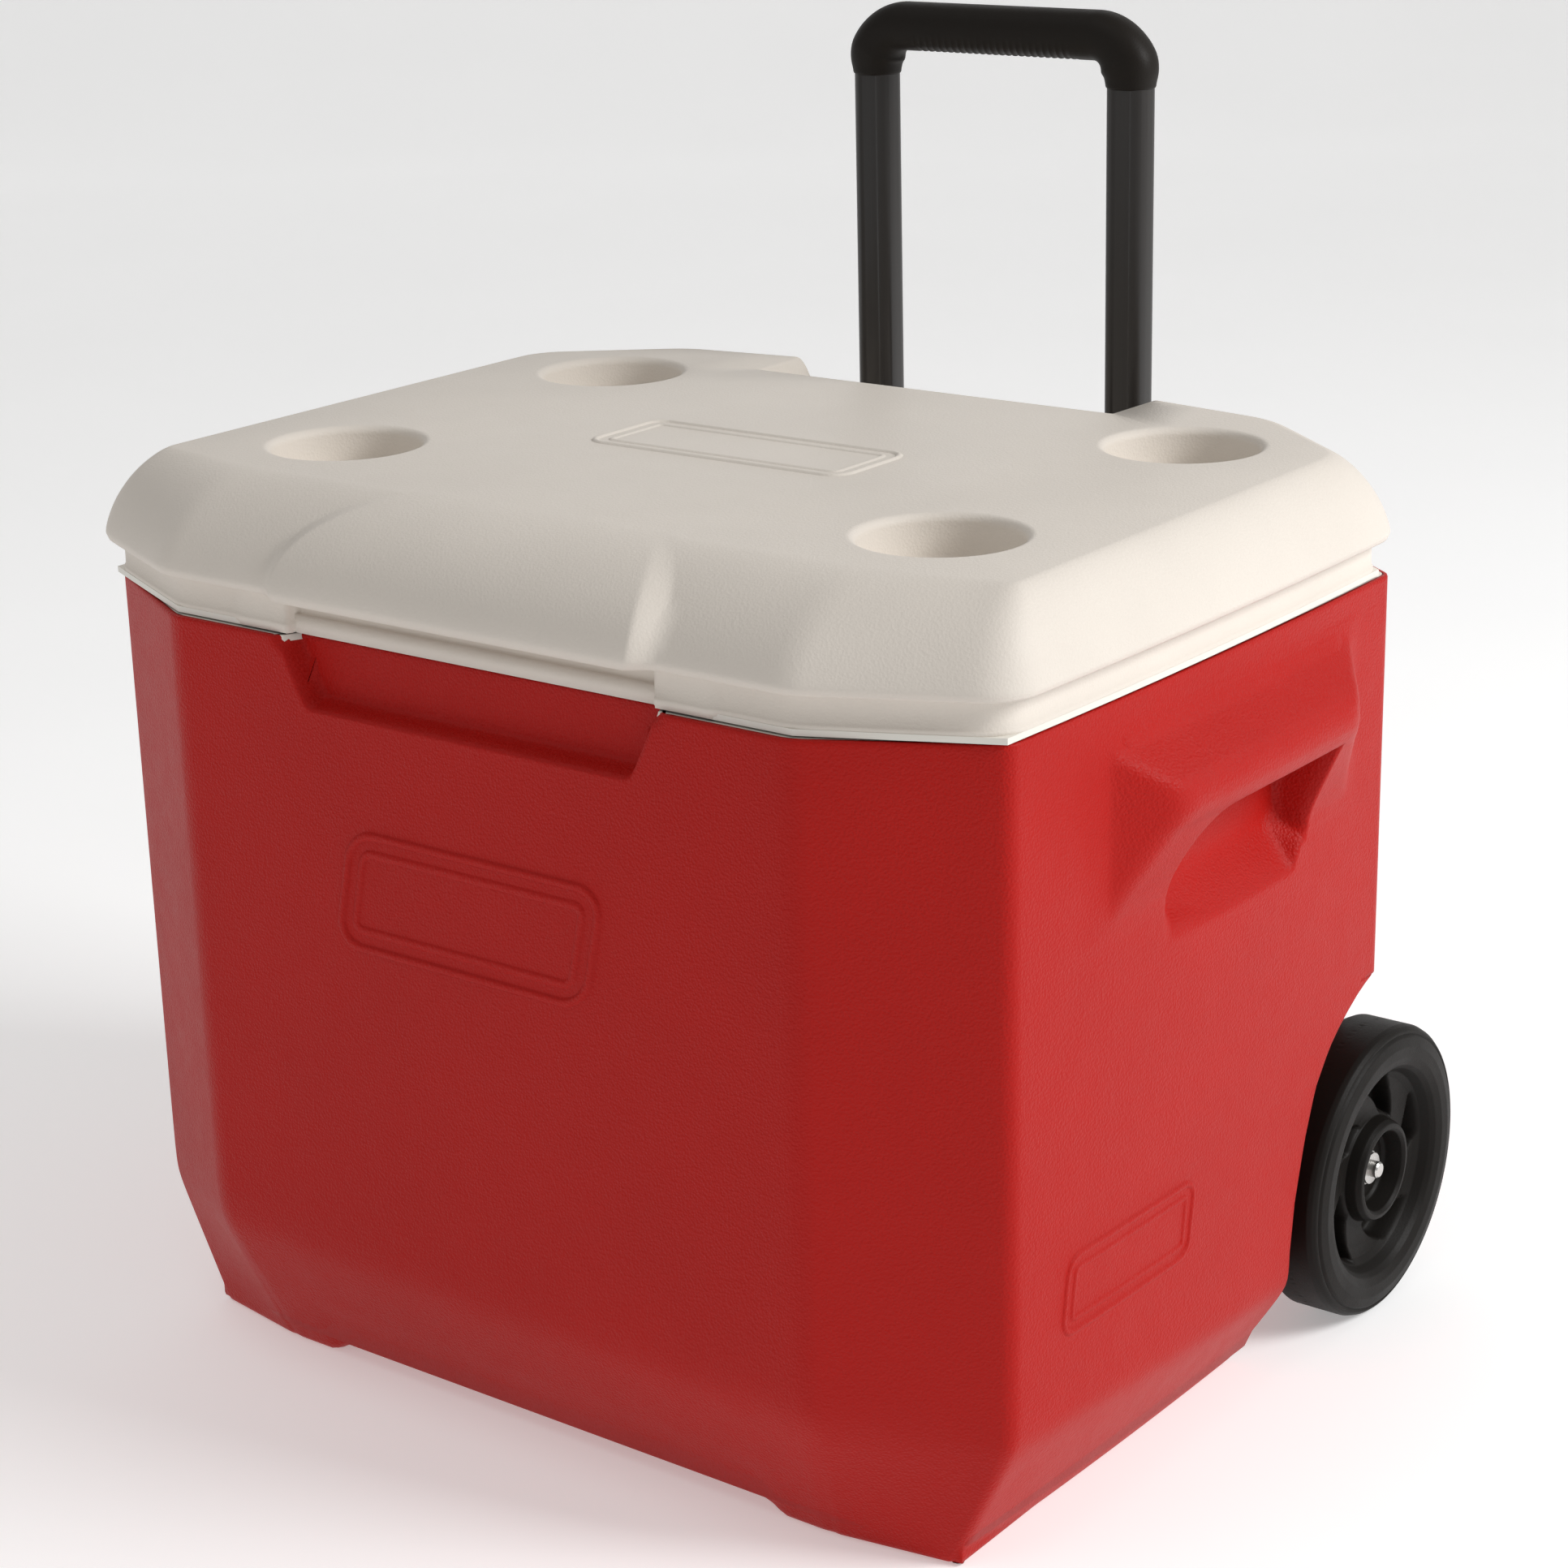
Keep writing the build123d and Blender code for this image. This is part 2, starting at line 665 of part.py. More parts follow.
def hinges():
    """Two butt hinges on the back: fixed leaves, moving leaves and pins."""
    third = hinge_width / 3
    for side, word in ((-1, "left"), (1, "right")):
        centre = side * hinge_x
        line = Plane.YZ.offset(centre - hinge_width / 2)
        plates = {
            f"hinge_body_leaf_{word}": (body_leaf, [(0, third), (2 * third, third)]),
            f"hinge_lid_leaf_{word}": (lid_leaf, [(third, third)]),
        }
        for name, (leaf_ends, knuckles) in plates.items():
            low, high = rim + leaf_ends[0], rim + leaf_ends[1]
            moving = "lid" in name
            spots = lid_leaf_screws if moving else body_leaf_screws
            here = [(x, z) for x, z in spots if x * side > 0]
            with BuildPart() as leaf:
                with BuildSketch(back_plane(body_depth)):
                    with Locations((-centre, (low + high) / 2)):
                        RectangleRounded(hinge_width, high - low, leaf_radius)
                extrude(amount=leaf_thickness)
                for start, length in knuckles:
                    play = part_gap if moving else 0
                    with BuildSketch(line.offset(start + play)):
                        with Locations((at(hinge_setback), hinge_z)):
                            Circle(knuckle_radius)
                        tongue_low = hinge_z if moving else high - 4
                        tongue_high = low + 4 if moving else hinge_z
                        tongue_z = (tongue_low + tongue_high) / 2
                        with Locations((at(body_depth + leaf_thickness / 2), tongue_z)):
                            Rectangle(leaf_thickness, tongue_high - tongue_low)
                    extrude(amount=length - 2 * play)
                bore = hinge_pin_radius + (running if moving else 0)
                with BuildSketch(line.offset(-5)):
                    with Locations((at(hinge_setback), hinge_z)):
                        Circle(bore)
                extrude(amount=hinge_width + 10, mode=Mode.SUBTRACT)
                add(screw_holes(here, back_plane(body_depth + 10), 20), mode=Mode.SUBTRACT)
            save(leaf.part, name)
        with BuildPart() as pin:
            with BuildSketch(line):
                with Locations((at(hinge_setback), hinge_z)):
                    Circle(hinge_pin_radius)
            extrude(amount=hinge_width)
        save(pin.part, f"hinge_pin_{word}")


def screws(places, setback, name):
    with BuildPart() as group:
        plane = back_plane(setback)
        spots = [(-x, z) for x, z in places]
        with BuildSketch(plane):
            with Locations(*spots):
                Circle(screw_radius)
        extrude(amount=-screw_length)
        with BuildSketch(plane):
            with Locations(*spots):
                Circle(head_radius)
        extrude(amount=head_height, taper=head_taper)
    save(group.part, name)


def handle():
    """Grip, two oval tubes and their slide bushes."""
    tube_foot = rim - bush_head - bush_length
    tube_head = rim + collar_foot + socket_depth
    grip_holes = screw_holes(grip_screw_places, back_plane(grip_back + 5), 18)
    for side, word in ((-1, "left"), (1, "right")):
        place = (side * tube_x, at(tube_setback))
        with BuildPart() as tube:
            with BuildSketch(Plane.XY.offset(tube_foot)):
                with Locations(place):
                    SlotOverall(tube_width, tube_depth)
                    bore = (tube_width - 2 * tube_wall, tube_depth - 2 * tube_wall)
                    SlotOverall(*bore, mode=Mode.SUBTRACT)
            extrude(amount=tube_head - tube_foot)
            with BuildSketch(Plane.XZ.offset(-at(tube_setback))):
                with Locations((side * tube_x, rim + dimple_height)):
                    Circle(dimple_radius)
            extrude(amount=tube_depth, mode=Mode.SUBTRACT)
            add(grip_holes, mode=Mode.SUBTRACT)
        save(tube.part, f"handle_tube_{word}")
        with BuildPart() as bush:
            grow = 2 * (sleeve_room - part_gap)
            with BuildSketch(Plane.XY.offset(tube_foot)):
                with Locations(place):
                    SlotOverall(tube_width + grow, tube_depth + grow)
                    SlotOverall(tube_width, tube_depth, mode=Mode.SUBTRACT)
            extrude(amount=bush_length)
        save(bush.part, f"tube_bush_{word}")

    foot, head = rim + collar_foot, rim + grip_top
    bar_foot = head - grip_bar
    with BuildPart() as grip:
        with BuildSketch(Plane.XZ.offset(-at(tube_setback))) as face:
            with BuildLine():
                Polyline(
                    (-grip_half, foot), (-grip_throat, foot), (grip_flare - grip_throat, bar_foot),
                    (grip_throat - grip_flare, bar_foot), (grip_throat, foot), (grip_half, foot),
                    (grip_half, head), (-grip_half, head), (-grip_half, foot),
                )
            make_face()
            fillet(face.vertices().group_by(Axis.Y)[-1], grip_corner)
        extrude(amount=grip_depth / 2, both=True)
        ends = grip.faces().filter_by(Axis.Y)
        fillet(ends.edges(), grip_edge)
        with BuildSketch(Plane.XY.offset(foot)):
            with Locations(*[(side * tube_x, at(tube_setback)) for side in (-1, 1)]):
                SlotOverall(tube_width, tube_depth)
        extrude(amount=socket_depth, mode=Mode.SUBTRACT)
        # Finger ribs on the underside of the bar.
        with BuildSketch(Plane.XZ.offset(-at(tube_setback))):
            with Locations(*[((i - (rib_count - 1) / 2) * rib_pitch, bar_foot) for i in range(rib_count)]):
                Circle(rib_radius)
        extrude(amount=grip_depth / 2 - 6, both=True, mode=Mode.SUBTRACT)
        add(grip_holes, mode=Mode.SUBTRACT)
    save(grip.part, "handle_grip")


def guides():
    """Fixed sleeves for the tubes and the two brackets that hold them on the back."""
    inner_w, inner_d = tube_width + 2 * sleeve_room, tube_depth + 2 * sleeve_room
    outer_w, outer_d = inner_w + 2 * sleeve_wall, inner_d + 2 * sleeve_wall
    high = rim - sleeve_top
    low = rim - bush_head - bush_length - handle_travel - 4
    places = [(side * tube_x, at(tube_setback)) for side in (-1, 1)]
    for place, word in zip(places, ("left", "right")):
        with BuildPart() as sleeve:
            with BuildSketch(Plane.XY.offset(low)):
                with Locations(place):
                    SlotOverall(outer_w, outer_d)
                    SlotOverall(inner_w, inner_d, mode=Mode.SUBTRACT)
            extrude(amount=high - low)
        save(sleeve.part, f"handle_sleeve_{word}")

    brackets = {
        "guide_upper": (high - guide_height, high + guide_cap, guide_screws_upper),
        "guide_lower": (guide_low_z, guide_low_z + guide_height, guide_screws_lower),
    }
    for name, (foot, head, spots) in brackets.items():
        with BuildPart() as bracket:
            with BuildSketch(back_plane(body_depth)):
                with Locations((0, (foot + head) / 2)):
                    RectangleRounded(guide_width, head - foot, 5)
            extrude(amount=guide_flange)
            with BuildSketch(Plane.XY.offset(foot)):
                with Locations(*places):
                    SlotOverall(outer_w + 2 * guide_wall, outer_d + 5)
                with Locations(*[(x, at(body_depth + 6)) for x, _ in places]):
                    Rectangle(outer_w + 2 * guide_wall, 12)
            extrude(amount=head - foot)
            with BuildSketch(Plane.XY.offset(foot - 5)):
                with Locations((0, at(body_depth - 10))):
                    Rectangle(300, 20)
            extrude(amount=head - foot + 10, mode=Mode.SUBTRACT)
            with BuildSketch(Plane.XY.offset(foot - 1)):
                with Locations(*places):
                    SlotOverall(outer_w, outer_d)
            seat = high if head > high else head + 1
            extrude(amount=seat - foot + 1, mode=Mode.SUBTRACT)
            with BuildSketch(Plane.XY.offset(foot)):
                with Locations(*places):
                    SlotOverall(tube_width + 2 * part_gap, tube_depth + 2 * part_gap)
            extrude(amount=head - foot + 5, mode=Mode.SUBTRACT)
            add(screw_holes(spots, back_plane(guide_back + 5), 20), mode=Mode.SUBTRACT)
        save(bracket.part, name)


def wheel_profile():
    """Half section of the wheel: distance along the axle from the inside, and radius."""
    bore = axle_radius + running
    tread, width = wheel_radius, wheel_width
    return [
        (0.0, bore), (0.0, 15.0), (8.0, 17.0), (8.0, tread - 14), (2.0, tread - 11), (0.0, tread - 8),
        (4.0, tread), (width - 4, tread), (width, tread - 5), (width, tread - 10),
        (width - 4, tread - 14), (width - 5, tread - 24), (width - 12, tread - 27),
        (width - 12, 26.0), (width - 5, 23.0), (width - 5, 20.5), (width - hub_depth, 19.0),
        (width - hub_depth, bore),
    ]


def running_gear():
    """Axle, wheels, washers and push nuts."""
    hub_face = wheel_outer_x - hub_depth
    tip = hub_face + 9.0
    with BuildPart() as axle:
        with BuildSketch(Plane.YZ):
            with Locations((at(wheel_setback), axle_z)):
                Circle(axle_radius)
        extrude(amount=tip, both=True)
        chamfer(axle.edges().filter_by(GeomType.CIRCLE), 0.8)
    save(axle.part, "axle")
    for side, word in ((-1, "left"), (1, "right")):
        inner_x = side * (wheel_outer_x - wheel_width)
        with BuildPart() as wheel:
            with BuildSketch(Plane.XY.offset(axle_z)):
                with BuildLine():
                    points = [(inner_x + side * run, at(wheel_setback) + r) for run, r in wheel_profile()]
                    Polyline(*points, points[0])
                make_face()
            revolve(axis=Axis((0, at(wheel_setback), axle_z), (1, 0, 0)))
            # Pockets between the spokes.
            with BuildSketch(Plane.YZ.offset(side * (wheel_outer_x - wheel_width + 2))):
                with Locations((at(wheel_setback), axle_z)):
                    with PolarLocations((wheel_radius - 1) / 2, wheel_pockets):
                        SlotOverall(wheel_radius - 58, pocket_width)
            extrude(amount=side * wheel_width, mode=Mode.SUBTRACT)
        save(wheel.part, f"wheel_{word}")
        rings = {
            f"axle_washer_{word}": (part_gap, 1.5, 9.5),
            f"push_nut_{word}": (part_gap + 1.5, 2.5, 8.5),
        }
        for name, (start, thick, radius) in rings.items():
            with BuildPart() as ring:
                with BuildSketch(Plane.YZ.offset(side * (hub_face + start))):
                    with Locations((at(wheel_setback), axle_z)):
                        Circle(radius)
                        Circle(axle_radius, mode=Mode.SUBTRACT)
                extrude(amount=side * thick)
            save(ring.part, name)


def main():
    os.makedirs("parts", exist_ok=True)
    shell, void, thick = chest()
    save(shell, "body_shell")
    liner, foam = tub_and_foam(void, thick)
    save(liner, "body_liner")
    save(foam, "body_foam")
    top_shell, pan, lid_foam = lid()
    save(top_shell, "lid_shell")
    save(pan, "lid_pan")
    save(lid_foam, "lid_foam")
    hinges()
    screws(body_leaf_screws, body_depth + leaf_thickness, "hinge_body_screws")
    screws(lid_leaf_screws, body_depth + leaf_thickness, "hinge_lid_screws")
    screws(guide_screws_upper + guide_screws_lower, guide_back, "guide_screws")
    screws(grip_screw_places, grip_back, "grip_screws")
    handle()
    guides()
    running_gear()


main()
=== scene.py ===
import json

import bpy
import numpy as np
from mathutils import Matrix, Vector
from mathutils.geometry import delaunay_2d_cdt


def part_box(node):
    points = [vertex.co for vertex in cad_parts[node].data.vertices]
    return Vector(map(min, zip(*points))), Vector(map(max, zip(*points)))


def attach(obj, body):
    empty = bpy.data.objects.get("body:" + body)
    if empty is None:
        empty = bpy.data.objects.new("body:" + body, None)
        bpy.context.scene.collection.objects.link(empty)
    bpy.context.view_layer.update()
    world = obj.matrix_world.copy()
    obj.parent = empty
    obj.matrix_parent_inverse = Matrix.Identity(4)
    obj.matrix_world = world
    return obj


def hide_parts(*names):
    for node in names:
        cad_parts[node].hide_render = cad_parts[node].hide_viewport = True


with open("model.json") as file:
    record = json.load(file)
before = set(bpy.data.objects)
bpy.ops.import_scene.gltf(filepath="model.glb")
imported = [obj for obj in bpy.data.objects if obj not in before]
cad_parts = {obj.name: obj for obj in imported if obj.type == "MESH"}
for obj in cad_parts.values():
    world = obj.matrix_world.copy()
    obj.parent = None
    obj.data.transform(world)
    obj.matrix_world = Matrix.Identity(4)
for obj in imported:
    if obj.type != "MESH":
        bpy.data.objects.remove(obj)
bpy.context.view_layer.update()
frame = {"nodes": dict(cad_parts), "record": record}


# The chest's own places, read from the frame
bodyLow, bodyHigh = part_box("body_shell")
gripLow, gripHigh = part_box("handle_grip")
rimZ = bodyHigh.z
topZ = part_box("lid_shell")[1].z
frontY = bodyLow.y          # the red front face
mm = 0.001                  # one millimetre, in the metres of the scene
print("frame loaded:", len(frame["nodes"]), "nodes")


# Mesh helpers
def meshFromGrid(name, points, closeU=False, closeV=False, faceOut=True, capStart=False, capEnd=False):
    # points is (rows, columns, 3); each cell between neighbours becomes one quad, and a closed
    # direction joins its last row or column to its first
    rows, columns = points.shape[:2]
    index = np.arange(rows * columns).reshape(rows, columns)
    a = index if closeU else index[:-1]
    b = np.roll(index, -1, axis=0) if closeU else index[1:]
    if closeV:
        a2, b2 = np.roll(a, -1, axis=1), np.roll(b, -1, axis=1)
    else:
        a, b, a2, b2 = a[:, :-1], b[:, :-1], a[:, 1:], b[:, 1:]
    quads = np.stack([a, b, b2, a2] if faceOut else [a, a2, b2, b], axis=-1).reshape(-1, 4)
    faces = [tuple(q) for q in quads.tolist()]
    if capStart:
        faces.append(tuple(index[0].tolist()) if faceOut else tuple(index[0][::-1].tolist()))
    if capEnd:
        faces.append(tuple(index[-1][::-1].tolist()) if faceOut else tuple(index[-1].tolist()))
    mesh = bpy.data.meshes.new(name)
    mesh.from_pydata(points.reshape(-1, 3).tolist(), [], faces)
    mesh.update()
    return mesh


def gridFaces(index):
    # quads between neighbouring rows of closed rings, facing outwards when rows rise
    a, b = index[:-1], index[1:]
    quads = np.stack([a, np.roll(a, -1, axis=1), np.roll(b, -1, axis=1), b], axis=-1)
    return quads.reshape(-1, 4).tolist()


def addPiece(name, mesh, body, material):
    piece = bpy.data.objects.new(name, mesh)
    bpy.context.scene.collection.objects.link(piece)
    mesh.polygons.foreach_set("use_smooth", np.ones(len(mesh.polygons), bool))
    mesh.materials.append(material)
    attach(piece, body)
    return piece


def smoothStep(low, high, value):
    # 0 below low, 1 above high, and a smooth cubic between
    t = np.clip((value - low) / (high - low), 0, 1)
    return t * t * (3 - 2 * t)


# Shader helpers
class Socket:
    # wraps an output socket, so that + - * / and the functions below add Math nodes
    def __init__(self, shader, output):
        self.shader, self.output = shader, output

    def math(self, operation, *values):
        return self.shader.node("ShaderNodeMath", {"operation": operation}, dict(enumerate(values)))

    def __add__(self, other): return self.math("ADD", self, other)
    def __radd__(self, other): return self.math("ADD", other, self)
    def __sub__(self, other): return self.math("SUBTRACT", self, other)
    def __rsub__(self, other): return self.math("SUBTRACT", other, self)
    def __mul__(self, other): return self.math("MULTIPLY", self, other)
    def __rmul__(self, other): return self.math("MULTIPLY", other, self)
    def __truediv__(self, other): return self.math("DIVIDE", self, other)


class Shader:
    # a new material with one Principled shader and a short way to add nodes
    def __init__(self, name, **settings):
        self.material = bpy.data.materials.new(name)
        self.material.use_nodes = True
        self.tree = self.material.node_tree
        self.principled = self.tree.nodes["Principled BSDF"]
        self.place = self.node("ShaderNodeTexCoord", {}, {}, "Object")
        for key, value in settings.items():
            self.principled.inputs[key.replace("_", " ")].default_value = value

    def node(self, kind, settings, inputs, output=0):
        made = self.tree.nodes.new(kind)
        for key, value in settings.items():
            setattr(made, key, value)
        for key, value in inputs.items():
            if isinstance(value, Socket):
                self.tree.links.new(value.output, made.inputs[key])
            else:
                made.inputs[key].default_value = value
        return Socket(self, made.outputs[output])

    def noise(self, scale, detail=2.0, roughness=0.5, place=None):
        return self.node("ShaderNodeTexNoise", {}, {
            "Vector": place or self.place, "Scale": scale, "Detail": detail, "Roughness": roughness})

    def cells(self, scale):
        return self.node("ShaderNodeTexVoronoi", {}, {"Vector": self.place, "Scale": scale}, "Distance")

    def mix(self, factor, first, second):
        # the colour inputs and output of a Mix node are its sixth, seventh and second
        return self.node("ShaderNodeMix", {"data_type": "RGBA"}, {0: factor, 6: first, 7: second}, 2)

    def feed(self, name, value):
        self.tree.links.new(value.output, self.principled.inputs[name])

    def bump(self, height, strength, distance):
        normal = self.node("ShaderNodeBump", {}, {
            "Height": height, "Strength": strength, "Distance": distance}, "Normal")
        self.feed("Normal", normal)


# Materials
def shade(colour, factor):
    return tuple(c * factor for c in colour[:3]) + (1.0,)


grainedPlastic = {
    # name: colour, roughness, grain cells per metre, grain depth in metres
    "redShell": ((0.42, 0.0080, 0.0050, 1), 0.42, 700, 0.00045),
    "whiteLid": ((0.72, 0.665, 0.60, 1), 0.50, 700, 0.00014),
    "whiteLiner": ((0.78, 0.76, 0.70, 1), 0.36, 500, 0.00004),
    "whiteHinge": ((0.70, 0.66, 0.60, 1), 0.42, 800, 0.00005),
    "blackGrip": ((0.012, 0.0095, 0.0075, 1), 0.50, 1100, 0.00007),
    "blackWheel": ((0.008, 0.0066, 0.0054, 1), 0.50, 900, 0.00006),
    "blackBracket": ((0.026, 0.025, 0.024, 1), 0.45, 900, 0.00005),
    "greyBush": ((0.18, 0.18, 0.18, 1), 0.45, 600, 0.00003),
}


plasticLook = {
    "specular": 0.15,
    "shadeSpread": 0.07,         # how far the clouds darken and lighten the colour
    "cloudsPerMetre": 9.0,
    "fineGrain": (2.3, 0.3),     # the finer cells: how many times as many, and their share
    "scuffsPerMetre": 60.0,
    "scuffShine": 0.16,
    "hollowDull": 0.10,
    "grainStrength": 0.9,
}


def mouldedPlastic(name):
    # moulded plastic: a pebble grain from two sizes of cell, faint clouds of shade,
    # rubbed high spots a little shinier than the hollows
    colour, roughness, perMetre, depth = grainedPlastic[name]
    look = plasticLook
    shader = Shader(name, Roughness=roughness, Specular_IOR_Level=look["specular"])
    finer, share = look["fineGrain"]
    pebbles = shader.cells(perMetre) * (1 - share) + shader.cells(perMetre * finer) * share
    clouds = shader.noise(look["cloudsPerMetre"], 3.0)
    scuffs = shader.noise(look["scuffsPerMetre"], 4.0, 0.65)
    spread = look["shadeSpread"]
    shader.feed("Base Color", shader.mix(clouds, shade(colour, 1 - spread), shade(colour, 1 + spread)))
    dulled = pebbles * look["hollowDull"] + (roughness - 0.04)
    shader.feed("Roughness", (scuffs - 0.5) * look["scuffShine"] + dulled)
    shader.bump(pebbles, look["grainStrength"], depth)
    return shader.material


coatLook = {
    "roughness": (0.24, 0.16),   # the least, and how much the rubbed lines add
    "peelPerMetre": 650.0,
    "lineScale": (900.0, 900.0, 6.0),
    "dark": (0.010, 0.008, 0.007, 1),
    "light": (0.018, 0.015, 0.013, 1),
}


def powderCoat():
    # thin black coat on steel tube: faint orange peel and fine rubbed lines along the tube
    look = coatLook
    least, added = look["roughness"]
    shader = Shader("blackTube", Roughness=0.34)
    peel = shader.noise(look["peelPerMetre"], 2.0)
    along = shader.node("ShaderNodeMapping", {}, {"Vector": shader.place, "Scale": look["lineScale"]})
    lines = shader.noise(1.0, 2.0, 0.5, along)
    shader.feed("Base Color", shader.mix(lines, look["dark"], look["light"]))
    shader.feed("Roughness", lines * added + least)
    shader.bump(peel, 0.35, 0.00005)
    return shader.material


metalLook = {
    "markScale": (1400.0, 160.0, 160.0),
    "markShine": 0.18,
    "dullPerMetre": 90.0,
}


def brushedMetal(name, colour, roughness):
    # metal with fine turning marks and slight dulling
    shader = Shader(name, Metallic=1.0, Roughness=roughness)
    along = shader.node("ShaderNodeMapping", {}, {"Vector": shader.place, "Scale": metalLook["markScale"]})
    marks = shader.noise(1.0, 3.0, 0.6, along)
    dull = shader.noise(metalLook["dullPerMetre"], 3.0)
    shader.feed("Base Color", shader.mix(dull, shade(colour, 0.86), shade(colour, 1.06)))
    shader.feed("Roughness", marks * metalLook["markShine"] + (roughness - 0.06))
    shader.bump(marks, 0.25, 0.00004)
    return shader.material


def rigidFoam():
    # poured foam: small closed bubbles with a pale skin
    shader = Shader("paleFoam", Roughness=0.9)
    bubbles = shader.cells(420.0)
    shader.feed("Base Color", shader.mix(bubbles, (0.74, 0.66, 0.42, 1), (0.84, 0.78, 0.58, 1)))
    shader.bump(bubbles, 0.8, 0.0006)
    return shader.material


finishes = {name: mouldedPlastic(name) for name in grainedPlastic}
finishes["blackTube"] = powderCoat()
finishes["zincSteel"] = brushedMetal("zincSteel", (0.66, 0.65, 0.63), 0.26)
finishes["drawnAluminium"] = brushedMetal("drawnAluminium", (0.62, 0.62, 0.63), 0.34)
finishes["paleFoam"] = rigidFoam()

finishOfSlot = {
    "red_body": "redShell",
    "white_lid": "whiteLid",
    "white_liner": "whiteLiner",
    "foam": "paleFoam",
    "black_grip": "blackGrip",
    "black_tube": "blackTube",
    "black_wheel": "blackWheel",
    "black_bracket": "blackBracket",
    "white_hinge": "whiteHinge",
    "grey_sleeve": "drawnAluminium",
    "grey_bush": "greyBush",
    "steel": "zincSteel",
}
for part in frame["record"]["subparts"]:
    cadMesh = frame["nodes"][part["node"]].data
    cadMesh.materials.clear()
    cadMesh.materials.append(finishes[finishOfSlot[part["material_slot"]]])
print("materials set:", len(finishes))


# Outlines that carry the red shell and the lid
def gradedSteps(*stretches):
    # (from, to, step) stretches joined into one rising list of places
    parts = [np.linspace(a, b, max(2, int(round(abs(b - a) / step)) + 1))[:-1] for a, b, step in stretches]
    return np.r_[np.concatenate(parts), stretches[-1][1]]


def bentPath(stations, cuts, spans, arcs):
    # one path per row through the stations (half width, setback): straight between them at the
    # fractions in spans, and each inner corner replaced by a parabola that starts cut before it
    # and ends cut after it
    stations = [np.asarray(p, float) for p in stations]
    count = len(stations)
    lead, tail = [], []
    for i in range(count):
        here = stations[i]
        if i == 0 or i == count - 1:
            lead.append(here)
            tail.append(here)
            continue
        ends = []
        for other in (stations[i - 1], stations[i + 1]):
            gap = other - here
            length = np.maximum(np.hypot(gap[:, 0], gap[:, 1]), 1e-6)
            ends.append(here + gap * (np.minimum(cuts[i], 0.45 * length) / length)[:, None])
        lead.append(ends[0])
        tail.append(ends[1])
    pieces = []
    for i in range(count):
        if 0 < i < count - 1:
            t = np.linspace(0, 1, arcs[i])[None, :, None]
            pieces.append((1 - t) ** 2 * lead[i][:, None] + 2 * t * (1 - t) * stations[i][:, None]
                          + t ** 2 * tail[i][:, None])
        else:
            pieces.append(stations[i][:, None])
        if i < count - 1:
            f = np.asarray(spans[i])[None, :, None]
            pieces.append(tail[i][:, None] * (1 - f) + lead[i + 1][:, None] * f)
    return np.concatenate(pieces, axis=1)


def bothHalves(right):
    # the right half runs from the front middle to the back middle; the left half mirrors it
    left = right[:, -2:0:-1].copy()
    left[..., 0] *= -1
    return np.concatenate([right, left], axis=1)


def drawnIn(ring, gap):
    # every point of closed flat rings moved inwards by gap, along the normal from its neighbours
    along = np.roll(ring[..., :2], -1, axis=-2) - np.roll(ring[..., :2], 1, axis=-2)
    along /= np.maximum(np.linalg.norm(along, axis=-1, keepdims=True), 1e-9)
    moved = ring.copy()
    moved[..., 0] -= along[..., 1] * gap
    moved[..., 1] += along[..., 0] * gap
    return moved


def softMin(a, b, blend):
    # smaller of two surfaces, with their crease rounded over blend
    h = np.clip(0.5 + 0.5 * (b - a) / blend, 0, 1)
    return b * (1 - h) + a * h - blend * h * (1 - h)


def softRamp(value, blend):
    # zero below zero and rising straight above it, with the bend rounded over blend
    return 0.5 * (value + np.sqrt(value * value + blend * blend))


def evenFractions(count):
    return np.arange(1, count + 1) / (count + 1)


# Red shell
shellLook = {                 # millimetres; setbacks are behind the front face
    "frontCorner": (190.7, 0.0),
    "sideCorner": (276.5, 45.8),
    "rearCorner": (281.0, 386.0),
    "backCorner": (205.0, 442.0),
    "bow": 3.5,
    "kneeFront": 82.0,
    "kneeSide": (72.0, 53.0),     # at the front and at the wheel
    "inset": 36.0,
    "archCeiling": 198.0,
    "archEdge": [(0, 294), (8, 301), (20, 300), (72, 300), (98, 303.5), (114, 308), (131, 313),
                 (155, 323), (172, 337), (182, 350), (191, 366), (196, 379), (198, 386)],
    "wellInner": 246.0,
    "tunnelHalf": 222.0,
    "tunnelFront": 372.0,
    "tunnelCeiling": 104.0,
    "wall": 3.0,
    "recessHalf": (118.0, 101.0),
    "recessFoot": 34.0,
    "recessDepth": 11.5,
    "footRise": 6.0,
    "footEdge": (139.0, 153.0),      # half widths between which the raised middle runs out
    "heelHeight": 28.5,
    "kneeBlend": (11.0, 6.0),        # rounding of the front knee and of the side knees
    "footEdgeRound": 2.2,
    "hoodSection": [(17, -3), (23, 1.5), (40, 18.5), (45, 21.6), (50, 23.2), (55, 23.2),
                    (61, 20.4), (66, 17.2), (103, 0), (106, -3)],   # below the rim, proud
    "hoodPlan": [(112, -3), (118, 0.5), (146, 21.5), (152, 24.5), (158, 26), (304, 26),
                 (309, 24.5), (314, 21.5), (341, 0.5), (346, -3)],  # setback, proud
    "hoodLimits": (14, 110, 108, 350),    # top and bottom below the rim, front and back setback
    "hoodBlend": (6.0, 3.0),              # rounding of its edges and of its foot
    "pocket": (163.0, 302.0, 63.5, 136.0),    # front, back, top and bottom
    "pocketCorner": (199.0, 97.5, 34.0),      # middle and radius of the round upper corner
    "pocketRamp": [(60, -18), (105, -17.5), (111, -14), (130, 0.5), (150, 8)],
    "pocketWall": (5.0, 16.0),            # run of its walls, and what the front wall adds
}


